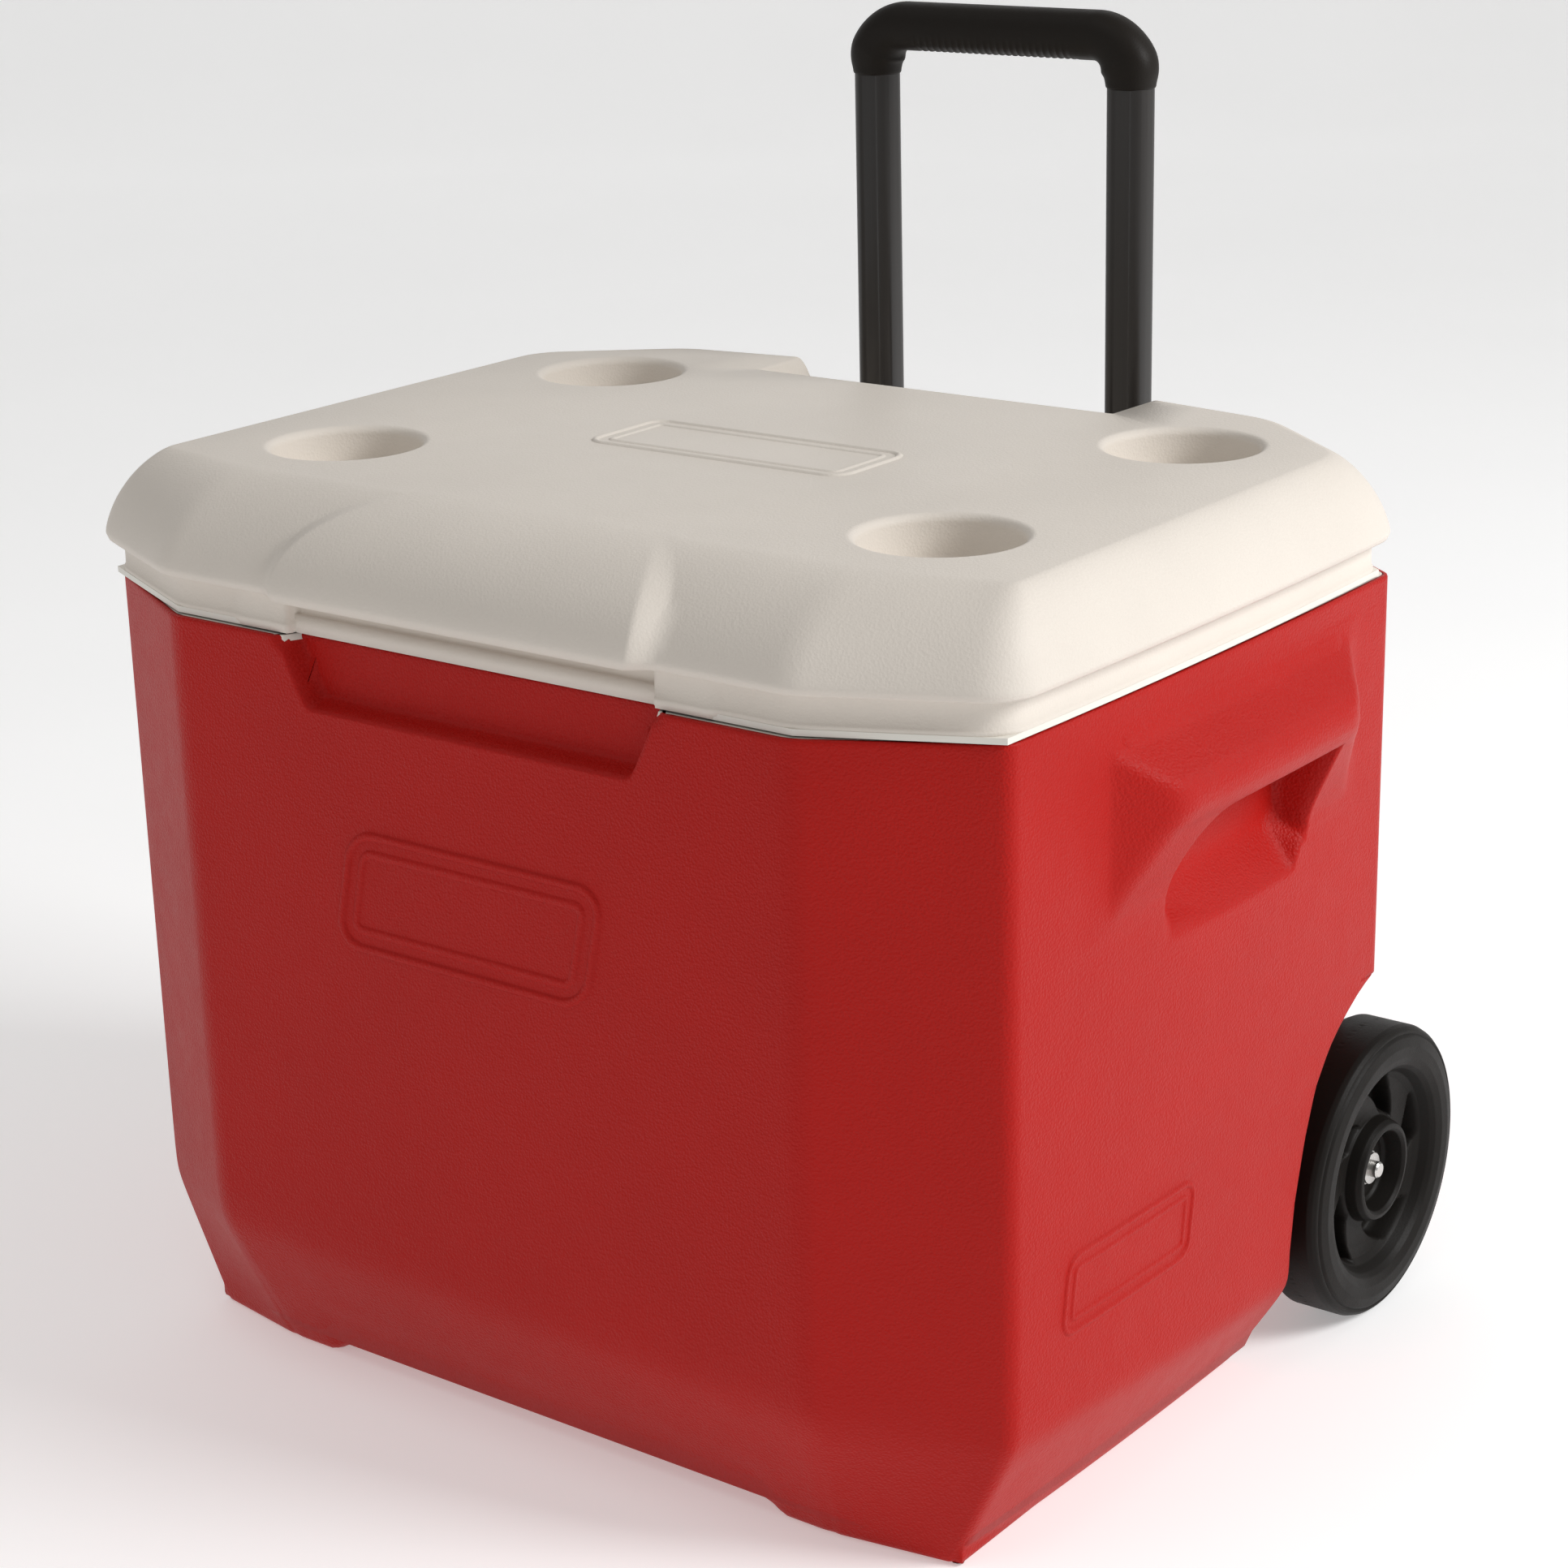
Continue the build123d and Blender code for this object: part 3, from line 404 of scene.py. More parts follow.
def handHold(drop, setback):
    # hood: the smaller of a section down the wall and a plan along it, above the plain side;
    # pocket: a mask with a round upper corner lets the surface fall to the back wall and its ramp
    look = shellLook
    section = np.interp(drop, *zip(*look["hoodSection"]))
    plan = np.interp(setback, *zip(*look["hoodPlan"]))
    edgeBlend, footBlend = look["hoodBlend"]
    rise = softRamp(softMin(section, plan, edgeBlend), footBlend)
    top, bottom, front, back = look["hoodLimits"]
    rise = np.where((drop < top) | (drop > bottom) | (setback < front) | (setback > back), 0, rise)
    # signed distance into the pocket's rounded outline
    front, back, top, bottom = look["pocket"]
    cornerSetback, cornerDrop, radius = look["pocketCorner"]
    corner = radius - np.hypot(np.maximum(cornerSetback - setback, 0), np.maximum(cornerDrop - drop, 0))
    inside = np.minimum(np.minimum(setback - front, corner), np.minimum(back - setback, bottom - drop))
    inside = softMin(inside, (drop - top) * 3.0, 2.0)
    backWall = np.interp(drop, *zip(*look["pocketRamp"]))
    run, added = look["pocketWall"]
    depthIn = smoothStep(0.0, run + added * smoothStep(235, 172, setback), inside)
    tip = smoothStep(286, 300, setback) * smoothStep(96, 124, drop) * 14
    return rise * (1 - depthIn) + np.minimum(backWall + tip, rise) * depthIn


def redShellMesh():
    look = shellLook
    rim = rimZ / mm
    heights = gradedSteps((0, 8, 2), (8, 28, 4), (28, 29, 0.5), (29, 88, 4), (88, 103.4, 5),
                          (103.4, 104.2, 0.8), (104.2, 108, 2), (108, 192, 6), (192, 197.4, 1.8),
                          (197.4, 198.2, 0.8), (198.2, 202, 1.9), (202, 270, 6.5), (270, 296, 2.2),
                          (296, 340, 3.4), (340, 353, 0.9), (353, 366, 1.9), (366, 384, 1.3),
                          (384, 400, 2.6), (400, rim - 1.2, 1.9))
    ones = np.ones_like(heights)
    well = heights < look["archCeiling"]
    tunnel = heights < look["tunnelCeiling"]
    edgeZ, edgeS = np.array(look["archEdge"]).T
    c1x = look["frontCorner"][0]
    (c2x, c2s), (c3x, c3s), (c4x, c4s) = (look[k] for k in ("sideCorner", "rearCorner", "backCorner"))
    inner, tunnelX = look["wellInner"], look["tunnelHalf"]

    def onFacet(x):
        return c3s + (c3x - x) / (c3x - c4x) * (c4s - c3s)

    def pick(mask, ifTrue, ifFalse):
        return np.where(mask[:, None], np.array(ifTrue)[None, :], np.array(ifFalse)[None, :])

    heel = heights < look["heelHeight"]
    archS = np.where(well, np.interp(heights, edgeZ, edgeS), 368.0)
    archX = c2x + (c3x - c2x) * (archS - c2s) / (c3s - c2s)
    stations = [
        np.outer(ones, (0, 0)), np.outer(ones, (c1x, 0)), np.outer(ones, (c2x, c2s)),
        np.c_[archX, archS],
        np.where(well[:, None], np.c_[inner * ones, archS], np.c_[(c3x - 0.2) * ones, 373 * ones]),
        pick(well, (inner, onFacet(inner) - 8), (c3x, c3s)),
        np.outer(ones, (inner, onFacet(inner))),
        np.outer(ones, (tunnelX, onFacet(tunnelX))),
        pick(tunnel, (tunnelX, look["tunnelFront"]), (c4x, c4s)),
        pick(tunnel, (0, look["tunnelFront"]), (0, c4s)),
    ]
    # below the heel line everything behind the arch is left out
    for i, heelX in ((5, inner - 1), (6, inner - 2), (7, tunnelX), (8, tunnelX - 1), (9, 0)):
        stations[i] = np.where(heel[:, None], np.c_[heelX * ones, archS], stations[i])
    frontPlaces = gradedSteps((0, 92, 6), (92, 122, 1.4), (122, 186, 5))[1:] / c1x
    sidePlaces = gradedSteps((52, 112, 8), (112, 126, 1.8), (126, 150, 3), (150, 163, 2), (163, 204, 1.7),
                             (204, 290, 5), (290, 306, 1.3), (306, 316, 2), (316, 348, 3), (348, 366, 6))
    sidePlaces = (sidePlaces - c2s) / (368 - c2s)
    spans = [frontPlaces * 0.985, evenFractions(8), sidePlaces * 0.99, evenFractions(3), evenFractions(5),
             evenFractions(3), evenFractions(3), evenFractions(3), evenFractions(14)]
    cuts = [0, 8.0, 6.5, np.where(well, 6.0, 1.0), 1.0, np.where(well, 0.5, 6.0), 0.8, 0.8, 4.0, 0]
    arcs = [0, 8, 8, 7, 3, 7, 3, 3, 6, 0]
    right = bentPath(stations, cuts, spans, arcs)
    x, s = right[..., 0], right[..., 1]
    z = heights[:, None] + 0 * x

    # long sides bulge a little
    along = np.clip((s - c2s) / (c3s - c2s), 0, 1)
    onSide = smoothStep(262, 276, x)
    x = x + look["bow"] * 4 * along * (1 - along) * onSide
    # lower walls lean in: gently at the front, more sharply along the sides
    facet = np.clip((x - c1x) / (c2x - c1x), 0, 1) * (s < c2s + 1) + (s >= c2s + 1)
    frontBlend, sideBlend = look["kneeBlend"]
    atRim = softRamp(look["kneeFront"] - rim, frontBlend)
    frontLean = softRamp(look["kneeFront"] - z, frontBlend) - atRim
    frontLean = frontLean / look["kneeFront"] * look["inset"]
    knee = np.interp(s, [c2s, 300], look["kneeSide"])
    sideLean = softRamp(knee - z, sideBlend) / knee * (look["inset"] - 1.5)
    s = s + frontLean * (1 - facet) * (s < c2s + 1)
    outside = (x > look["wellInner"] + 0.5) | (s < c2s + 1)
    lean = np.where(s < c2s + 1, (0.33 * np.clip(x / c1x, 0, 1) + 0.67 * facet), 1.0) * sideLean
    x = np.where(outside, np.maximum(x - lean, np.minimum(x, look["wellInner"] * (s >= c2s + 1))), x)
    # finger recess under the lid's brow
    wide, narrow = look["recessHalf"]
    drop = rim - z
    slant = wide - (wide - narrow) * drop / look["recessFoot"]
    reach = softMin(slant - x, look["recessFoot"] - drop, 4.0)
    onFront = (s < 12) & (x < c1x)
    s = s + onFront * look["recessDepth"] * smoothStep(-0.5, 4.6, reach)
    # hand holds
    x = x + onSide * handHold(drop, s)
    # the floor is raised between the feet
    z = z + look["footRise"] * (1 - smoothStep(*look["footEdge"], x)) * np.clip(1 - z / 40, 0, 1)

    rows = bothHalves(np.stack([x, s, z], axis=-1))
    # bottom edge rounding, underside and its flat; rim, and a thin wall inside
    foot = rows[0]
    under = [drawnIn(foot, 14.0), drawnIn(foot, 6.0), drawnIn(foot, 3.6)]
    under[0][..., 2] = 8.0
    under[2][..., 2] += 0.3
    rows[0] = drawnIn(rows[0], look["footEdgeRound"])
    rows[0][..., 2] += 1.0
    rows[1] = drawnIn(rows[1], 0.5)
    crest = rows[-1]
    rim1, rim2, rim3 = drawnIn(crest, 0.35), drawnIn(crest, 1.2), drawnIn(crest, look["wall"] - 0.1)
    rim1[..., 2], rim2[..., 2], rim3[..., 2] = rim - 0.35, rim, rim
    lip = rim3.copy()
    lip[..., 2] = rim - 5
    inside = drawnIn(rows[-14:4:-6], look["wall"])
    inside[-1][..., 2] = 12.0
    grid = np.concatenate([np.stack(under), rows, np.stack([rim1, rim2, rim3, lip]), inside])
    grid = grid * mm
    grid[..., 1] += frontY
    return meshFromGrid("red_shell", grid, closeV=True, capStart=True, capEnd=True, faceOut=False)


def makeRedShell():
    shell = addPiece("red_shell", redShellMesh(), "chest", finishes["redShell"])
    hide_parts("body_shell", "body_foam")


makeRedShell()
print("red shell made")


# White lid
lidLook = {                   # millimetres above the rim and behind the front face
    "top": 64.0,
    "foot": 21.0,
    "low": [(192.0, -4.0), (284.0, 37.5), (287.0, 381.0), (207.0, 441.0)],
    "high": [(190.0, 60.0), (260.5, 71.0), (259.5, 362.0), (190.0, 415.0)],
    "lowEdge": (441.5, 114.0, 108.0, 433.0, 12.0),    # back, notch sides, notch slope and its floor
    "highEdge": (427.0, 119.0, 117.5, 386.0),
    "browHalf": (120.0, 84.0),   # at the foot and at the flat top
    "browStrip": (11.0, 14.0),
    "browReach": (-12.0, 66.0),   # setbacks of the brow's foot and of its meeting with the flat top
    "skirtStep": (113.0, 11.0),
    "padBack": 441.9,
    "padHalf": (120.5, 179.5),   # half widths between which the hinge pads lie
    "padTop": 47.0,
    "bow": 3.5,
    "cups": [(-186, 125.4), (186, 125.4), (-186, 341.2), (186, 341.2)],
    "cupRadius": 39.0,
    "cupDepth": 24.0,
    "mouth": 4.5,
}


def hingePad(x, s, z):
    # flat pads that stand out to the back face behind the hinge leaves
    near, far = lidLook["padHalf"]
    width = smoothStep(near, near + 2.5, np.abs(x)) * (1 - smoothStep(far - 2.5, far, np.abs(x)))
    raised = width * (1 - smoothStep(lidLook["padTop"] - 3, lidLook["padTop"], z))
    return np.where(s > 400, s * (1 - raised) + lidLook["padBack"] * raised, -1e3)


def lidRows():
    # one closed ring of the crown for every step of run from its foot (0) to the flat top (1)
    look = lidLook
    run = np.linspace(0, 1, 48) ** 1.7
    ones = np.ones_like(run)
    lowPoints, highPoints = np.array(look["low"]), np.array(look["high"])
    crown = [np.outer(1 - run, a) + np.outer(run, b) for a, b in zip(lowPoints, highPoints)]
    back0, side0, in0, slope0, floor0 = look["lowEdge"]
    back1, side1, in1, slope1 = look["highEdge"]

    def blendRun(a, b):
        return a * (1 - run) + b * run

    stations = [np.c_[0 * run, crown[0][:, 1]], *crown,
                np.c_[blendRun(side0, side1), blendRun(back0, back1)],
                np.c_[blendRun(in0, in1), blendRun(slope0, slope1)],
                np.c_[0 * run, blendRun(slope0, slope1)]]
    frontPlaces = gradedSteps((0, 66, 6), (66, 124, 1.45), (124, 186, 5))[1:] / lowPoints[0, 0] * 0.985
    padPlaces = gradedSteps((12, 27, 5), (27, 32, 1.2), (32, 82, 8), (82, 87, 1.2), (87, 93, 3)) / 93
    spans = [frontPlaces, evenFractions(14), evenFractions(40), evenFractions(10), padPlaces * 0.99,
             evenFractions(3), evenFractions(20)]
    cuts = [0, 8.0 * ones, 20.0 - 14 * run, 16.0 * ones, 12.0 * ones, 2.0 * ones, 1.5 * ones, 0]
    arcs = [0, 9, 9, 9, 7, 5, 4, 0]
    right = bentPath(stations, cuts, spans, arcs)
    x, s = right[..., 0], right[..., 1]
    r = run[:, None] + 0 * x

    # how the crown rises: rounder at the front and back than along the sides
    onSide = smoothStep(200, 262, x) * smoothStep(30, 70, s)
    power = 1.75 - 0.25 * onSide
    z = look["foot"] + (look["top"] - look["foot"]) * (1 - (1 - r) ** power) ** 0.66
    # notch at the back: its slope runs straight from its floor to the flat top
    notchColumns = np.cumsum([1] + [len(span) for span in spans[:5]] + arcs[1:6])[-1]
    notch = np.arange(x.shape[1])[None, :] >= notchColumns
    z = np.where(notch, floor0 + (look["top"] - floor0) * r, z)
    # long sides bulge a little
    along = np.clip((s - 40) / (381 - 40), 0, 1)
    x = x + (1 - r) * look["bow"] * 4 * along * (1 - along) * smoothStep(240, 262, x)
    # foot of the crown is rounded under
    tuck = 1.6 * np.clip(1 - r / 0.012, 0, 1) ** 2 * ~notch
    z = z + 0.7 * np.clip(r / 0.012, 0, 1) * ~notch * (1 - r)
    # brow: in the middle the front follows a quarter ellipse, and steps down to the crown
    # over a narrow strip at each side
    turn = np.pi / 2 * r ** 0.6
    browFoot, browBack = look["browReach"]
    browS = browFoot + (browBack - browFoot) * (1 - np.cos(turn))
    browZ = look["foot"] + (look["top"] - look["foot"]) * np.sin(turn)
    (wide, narrow), (stripFoot, stripTop) = look["browHalf"], look["browStrip"]
    half = wide + 15 * np.sin(turn) - (wide - narrow + 15) * (1 - np.cos(turn))
    edge = (half - x) / (stripFoot + (stripTop - stripFoot) * np.sin(turn))
    onBrow = np.clip(edge, 0, 1)
    onBrow = onBrow * 0.75 + smoothStep(0, 1, edge) * 0.25
    onBrow = onBrow * (x < 150) * (s < 200)
    s = s * (1 - onBrow) + browS * onBrow
    z = z * (1 - onBrow) + browZ * onBrow
    s = np.maximum(s, hingePad(x, s, z))
    rows = bothHalves(np.stack([x, s, z], axis=-1))
    tucks = np.concatenate([tuck, tuck[:, -2:0:-1]], axis=1)
    shrunk = drawnIn(rows, 1.0)
    rows[..., :2] += (shrunk - rows)[..., :2] * tucks[..., None]
    return rows, notch


def skirtRows(foot, notch):
    # below the crown: in under its edge, down the skirt, over a bead and in to the underside
    look = lidLook
    floor = look["lowEdge"][4]
    half, step = look["skirtStep"]
    profile = [(4.0, 20.6), (7.2, 20.2), (7.7, 19.6), (7.7, 13.0), (7.6, 6.6), (6.9, 6.0), (6.6, 5.0),
               (6.7, 3.2), (7.2, 2.6), (7.5, 2.2), (7.5, 1.2), (8.2, 1.0), (12.0, 1.0), (12.0, 10.0)]
    notchFull = np.concatenate([notch[0], notch[0][-2:0:-1]])
    rows = []
    # the skirt follows the crown's plain outline, without the brow
    plain = foot.copy()
    browed = (np.abs(plain[:, 0]) < 150) & (plain[:, 1] < 20)
    plain[:, 1] = np.where(browed, -4.0, plain[:, 1])
    for gap, height in profile:
        ring = drawnIn(plain[None], gap)[0]
        ring[:, 2] = height
        back = browed * (1 - smoothStep(half - 1.2, half + 1.2, np.abs(ring[:, 0]))) * (step - 3.8)
        ring[:, 1] += back * (gap > 4.5) * (gap < 9)
        ring[:, 2] = np.where(notchFull, np.minimum(height, floor), ring[:, 2])
        ring[:, 1] = np.where(notchFull, 441.5 - gap, ring[:, 1])
        if gap < 11:
            ring[:, 1] = np.maximum(ring[:, 1], hingePad(ring[:, 0], ring[:, 1], ring[:, 2]))
        rows.append(ring)
    return np.stack(rows)


def cupMesh(x, s, top):
    # bowl turned round its own axis: a flat collar, a rounded mouth, a nearly upright wall,
    # a rounded floor and the middle of the floor
    look = lidLook
    radius, depth, mouth = look["cupRadius"], look["cupDepth"], look["mouth"]
    t = np.linspace(0, np.pi / 2, 9)
    lip = np.c_[radius + mouth - mouth * np.sin(t), -mouth * (1 - np.cos(t))]
    heel = np.c_[radius - 1.2 - 5 * (1 - np.cos(t)), -depth + 5 - 5 * np.sin(t)]
    profile = np.r_[[[radius + mouth + 0.6, 0.0]], lip, [[radius - 0.6, -depth / 2]], heel,
                    [[radius - 14, -depth - 0.1]], [[8, -depth + 0.1]]]
    angle = np.linspace(0, 2 * np.pi, 96, endpoint=False)
    ring = np.stack([x + profile[:, :1] * np.cos(angle), s + profile[:, :1] * np.sin(angle),
                     top + profile[:, 1:] + 0 * angle], axis=-1)
    return ring


def lidMesh():
    look = lidLook
    rows, notch = lidRows()
    skirt = skirtRows(rows[0], notch)[::-1]
    grid = np.concatenate([skirt, rows])
    columns = grid.shape[1]
    cups = [cupMesh(x, s, look["top"]) for x, s in look["cups"]]
    verts = [grid.reshape(-1, 3)]
    index = np.arange(grid.shape[0] * columns).reshape(-1, columns)
    faces = gridFaces(index)
    faces.append(index[0][::-1].tolist())
    start = index.size
    rings = [index[-1]]
    for cup in cups:
        cupIndex = start + np.arange(cup.shape[0] * cup.shape[1]).reshape(cup.shape[:2])
        start += cupIndex.size
        verts.append(cup.reshape(-1, 3))
        faces += gridFaces(cupIndex)
        faces.append(cupIndex[-1].tolist())
        rings.append(cupIndex[0][::-1])
    points = np.concatenate(verts)
    # the flat top is one sheet between the crown's edge and the four cup rings
    ids = np.concatenate(rings)
    flat = [Vector((float(a), float(b))) for a, b in points[ids][:, :2]]
    loops, place = [], 0
    for ring in rings:
        loops.append(list(range(place, place + len(ring))))
        place += len(ring)
    made = delaunay_2d_cdt(flat, [], loops, 2, 1e-5)
    if len(made[0]) != len(flat):
        print("flat top gained points:", len(flat), len(made[0]))
    for face in made[2]:
        corners = [ids[made[3][v][0]] for v in face]
        middle = points[corners].mean(axis=0)
        inCup = any(np.hypot(middle[0] - x, middle[1] - s) < look["cupRadius"] for x, s in look["cups"])
        if not inCup:
            faces.append([int(c) for c in corners])
    points = points * mm
    points[:, 1] += frontY
    points[:, 2] += rimZ
    mesh = bpy.data.meshes.new("white_lid")
    mesh.from_pydata(points.tolist(), [], faces)
    mesh.update()
    return mesh


def makeLid():
    lid = addPiece("white_lid", lidMesh(), "lid", finishes["whiteLid"])
    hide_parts("lid_shell", "lid_foam")


makeLid()
print("lid made")


# Wheels
wheelLook = {
    "lugs": 38,
    "lugDepth": 0.0038,
    "turns": 480,             # steps round the wheel
    "pocketSpan": (0.0300, 0.0530),   # radii between which the pockets lie
    "pocketSweep": 1.1,       # how far they lean back, in turns of the wave
    "pockets": 5,
    "pocketDepth": 0.011,
}


def wheelSection(radius, width):
    # half section as (distance in from the outer face, radius) from the bore at the outside,
    # over the hub, dish, sidewall and tread to the bore at the inside
    corners = [
        (0.015, 0.0046), (0.015, 0.0185), (0.0135, 0.0200), (0.0045, 0.0222), (0.0030, 0.0238),
        (0.0034, 0.0262), (0.0060, 0.0278), (0.0120, 0.0292), (0.0128, 0.0330), (0.0128, 0.0440),
        (0.0120, 0.0500), (0.0095, 0.0535), (0.0050, 0.0562), (0.0026, 0.0585), (0.0008, 0.0630),
        (0.0004, 0.0690), (0.0016, 0.0742), (0.0026, 0.0752), (0.0030, 0.0756), (0.0024, 0.0764),
        (0.0030, 0.0776), (0.0046, 0.0790), (0.0075, radius), (width - 0.0080, radius),
        (width - 0.0050, 0.0784), (width - 0.0020, 0.0750), (width, 0.0700), (width, 0.0680),
        (width - 0.0040, 0.0650), (width - 0.0090, 0.0640), (width - 0.0100, 0.0400),
        (width - 0.0090, 0.0180), (width, 0.0150), (width, 0.0046),
    ]
    corners = np.array(corners)
    lengths = np.r_[0, np.cumsum(np.hypot(*np.diff(corners, axis=0).T))]
    steps = np.linspace(0, lengths[-1], 190)
    steps = np.unique(np.r_[steps, lengths])
    return np.c_[np.interp(steps, lengths, corners[:, 0]), np.interp(steps, lengths, corners[:, 1])]


def wheelMesh(name, side, centre, outerX, radius, width):
    # the section is turned about the axle; shallow dimples lie along the middle of the tread, on
    # the flanks of a soft square wave of the angle, and pockets sink the dish where a slanted
    # wave of angle and radius is high
    section = wheelSection(radius, width)
    depth, reach = section[:, 0][None, :], section[:, 1][None, :]
    angle = np.linspace(0, 2 * np.pi, wheelLook["turns"], endpoint=False)[:, None]
    across = depth / width
    onTread = smoothStep(0.0752, 0.0770, reach) * smoothStep(0.0, 0.002, depth)
    skew = 0.5 * np.pi * (across > 0.5)
    wave = np.cos(wheelLook["lugs"] * angle + skew)
    middle = 1 - smoothStep(0.0, 0.05, np.abs(across - 0.5))
    valley = smoothStep(0.15, 0.75, -wave)
    groove = 0.55 * middle * valley * (1 - valley)
    lowered = reach - onTread * groove * wheelLook["lugDepth"]
    # curved spokes between the pockets
    swirl = wheelLook["pockets"] * (angle - wheelLook["pocketSweep"] * (reach - 0.04) / 0.04)
    pocket = smoothStep(0.05, 0.45, np.cos(swirl))
    near, far = wheelLook["pocketSpan"]
    inDish = smoothStep(near, near + 0.0045, reach) * (1 - smoothStep(far - 0.0050, far, reach))
    inDish = inDish * (depth < width / 2)
    sunk = depth + inDish * pocket * wheelLook["pocketDepth"]
    x = side * (outerX - sunk) + 0 * angle
    y = centre.y + lowered * np.cos(angle)
    z = centre.z + lowered * np.sin(angle)
    points = np.stack([x, y, z], axis=-1)
    return meshFromGrid(name, points, closeU=True, closeV=True, faceOut=side < 0)


def makeWheels():
    for side, word in ((-1, "left"), (1, "right")):
        node = f"wheel_{word}"
        low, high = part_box(node)
        centre = (low + high) / 2
        outerX = max(abs(low.x), abs(high.x))
        mesh = wheelMesh(f"{node}_moulding", side, centre, outerX, high.z - centre.z, high.x - low.x)
        wheel = addPiece(f"{node}_moulding", mesh, node, finishes["blackWheel"])
        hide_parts(node)


makeWheels()
print("wheels made")


# Grip and tubes
gripLook = {                  # millimetres
    "legX": 82.6,
    "barHalf": 13.2,
    "legHalf": 16.2,
    "collarHalf": 13.4,
    "depthHalf": 13.6,
    "collarDepth": 11.4,
    "bend": 21.0,
    "ridgePitch": 4.2,
    "ridgeDepth": 0.8,
    "ridgeReach": 54.0,        # how far the ridges go from the middle
    "squareness": 0.84,        # 1 is an ellipse, less is squarer
    "around": 72,
}


def gripMesh():
    # an oval section carried along a path: up one leg, round a quarter circle, across the bar
    # and down again; fine slanting ridges are pressed into the underside of the bar
    look = gripLook
    foot, top = gripLow.z / mm, gripHigh.z / mm
    midY = (gripLow.y + gripHigh.y) / mm / 2
    barZ, legX, bend = top - look["barHalf"], look["legX"], look["bend"]
    t = np.linspace(0, np.pi / 2, 26)[1:]
    leg = np.linspace(foot, barZ - bend, 9)
    bar = np.linspace(legX - bend, 0, 120)[1:]
    right = np.r_[np.c_[0 * leg + legX, leg],
                  np.c_[legX - bend + bend * np.cos(t), barZ - bend + bend * np.sin(t)],
                  np.c_[bar, 0 * bar + barZ]]
    path = np.r_[right, right[-2::-1] * (-1, 1)]
    along = np.gradient(path, axis=0)
    along /= np.linalg.norm(along, axis=1, keepdims=True)
    outward = np.c_[along[:, 1], -along[:, 0]]
    height = path[:, 1] - foot
    grow = smoothStep(0, 15, height)
    toBar = smoothStep(barZ - bend - foot, barZ - foot, height)
    across = (look["collarHalf"] + (look["legHalf"] - look["collarHalf"]) * grow
              + (look["barHalf"] - look["legHalf"]) * toBar)
    deep = look["collarDepth"] + (look["depthHalf"] - look["collarDepth"]) * grow
    rounded = np.ones(len(path))
    rounded[[0, -1]], rounded[[1, -2]] = 0.90, 0.985
    angle = np.linspace(0, 2 * np.pi, look["around"], endpoint=False)
    c, s = np.cos(angle), np.sin(angle)
    ovalIn = np.sign(c) * np.abs(c) ** look["squareness"]
    ovalDeep = np.sign(s) * np.abs(s) ** look["squareness"]
    under = np.clip(-c, 0, 1) ** 0.6
    slanted = path[:, :1] + 0.25 * (deep[:, None] * ovalDeep)
    wave = 0.5 + 0.5 * np.cos(2 * np.pi * slanted / look["ridgePitch"])
    onBar = 1 - smoothStep(look["ridgeReach"] - 8, look["ridgeReach"], np.abs(path[:, :1]))
    pressed = look["ridgeDepth"] * under * onBar * smoothStep(0.1, 0.6, wave)
    reach = across[:, None] * rounded[:, None] * ovalIn + pressed
    x = path[:, :1] + outward[:, :1] * reach
    z = path[:, 1:] + outward[:, 1:] * reach
    y = midY + (deep * rounded)[:, None] * ovalDeep
    points = np.stack([x, y, z], axis=-1) * mm
    return meshFromGrid("pull_grip", points, closeV=True, capStart=True, capEnd=True, faceOut=False)


tubeLook = {                  # millimetres
    "grooveDepth": 1.1,
    "grooveHalf": 5.2,
    "squareness": (0.75, 0.62),    # across and along the depth; 1 is an ellipse
}


def tubeMesh(name, node):
    # a flattened tube: its section has round ends and a shallow flat-bottomed groove down
    # the middle of the front and back, carried straight up; both ends are closed
    low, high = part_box(node)
    middle = (low + high) / mm / 2
    halfW, halfD = (high.x - low.x) / mm / 2, (high.y - low.y) / mm / 2
    angle = np.linspace(0, 2 * np.pi, 120, endpoint=False)
    c, s = np.cos(angle), np.sin(angle)
    acrossPower, deepPower = tubeLook["squareness"]
    x = halfW * np.sign(c) * np.abs(c) ** acrossPower
    y = halfD * np.sign(s) * np.abs(s) ** deepPower
    groove = 1 - smoothStep(tubeLook["grooveHalf"] - 0.8, tubeLook["grooveHalf"] + 0.8, np.abs(x))
    y = y - np.sign(y) * groove * tubeLook["grooveDepth"]
    foot, head = low.z / mm, high.z / mm
    heights = np.r_[foot, np.linspace(foot + 0.5, head - 0.5, 24), head]
    scale = np.ones(len(heights))
    scale[[0, -1]] = 0.96
    points = np.stack([middle.x + scale[:, None] * x, middle.y + scale[:, None] * y,
                       heights[:, None] + 0 * x], axis=-1) * mm
    return meshFromGrid(name, points, closeV=True, capStart=True, capEnd=True, faceOut=True)


def makeHandle():
    grip = addPiece("pull_grip", gripMesh(), "pull_handle", finishes["blackGrip"])
    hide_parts("handle_grip")
    for word in ("left", "right"):
        name = f"pull_tube_{word}"
        tube = addPiece(name, tubeMesh(name, f"handle_tube_{word}"), "pull_handle",
                        finishes["blackTube"])
        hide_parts(f"handle_tube_{word}")


makeHandle()
print("handle made")


# Plain raised plaques
plaqueLook = {
    # name: width, height, corner radius, slant, bead half width, bead height, gap between the beads
    "front": (158.0, 60.0, 15.0, 0.22, 2.4, 1.6, 9.5),
    "side": (108.0, 38.0, 9.0, 0.15, 1.8, 1.2, 6.5),
    "lid": (160.0, 58.0, 10.0, 0.0, 1.8, 1.4, 8.0),
}
plaquePlace = {
    # name: its middle, across or behind the front face, then below the rim or behind the front face
    "front": (-4.0, 122.0),
    "side": (141.0, 279.0),
    "lid": (0.0, 222.0),
}


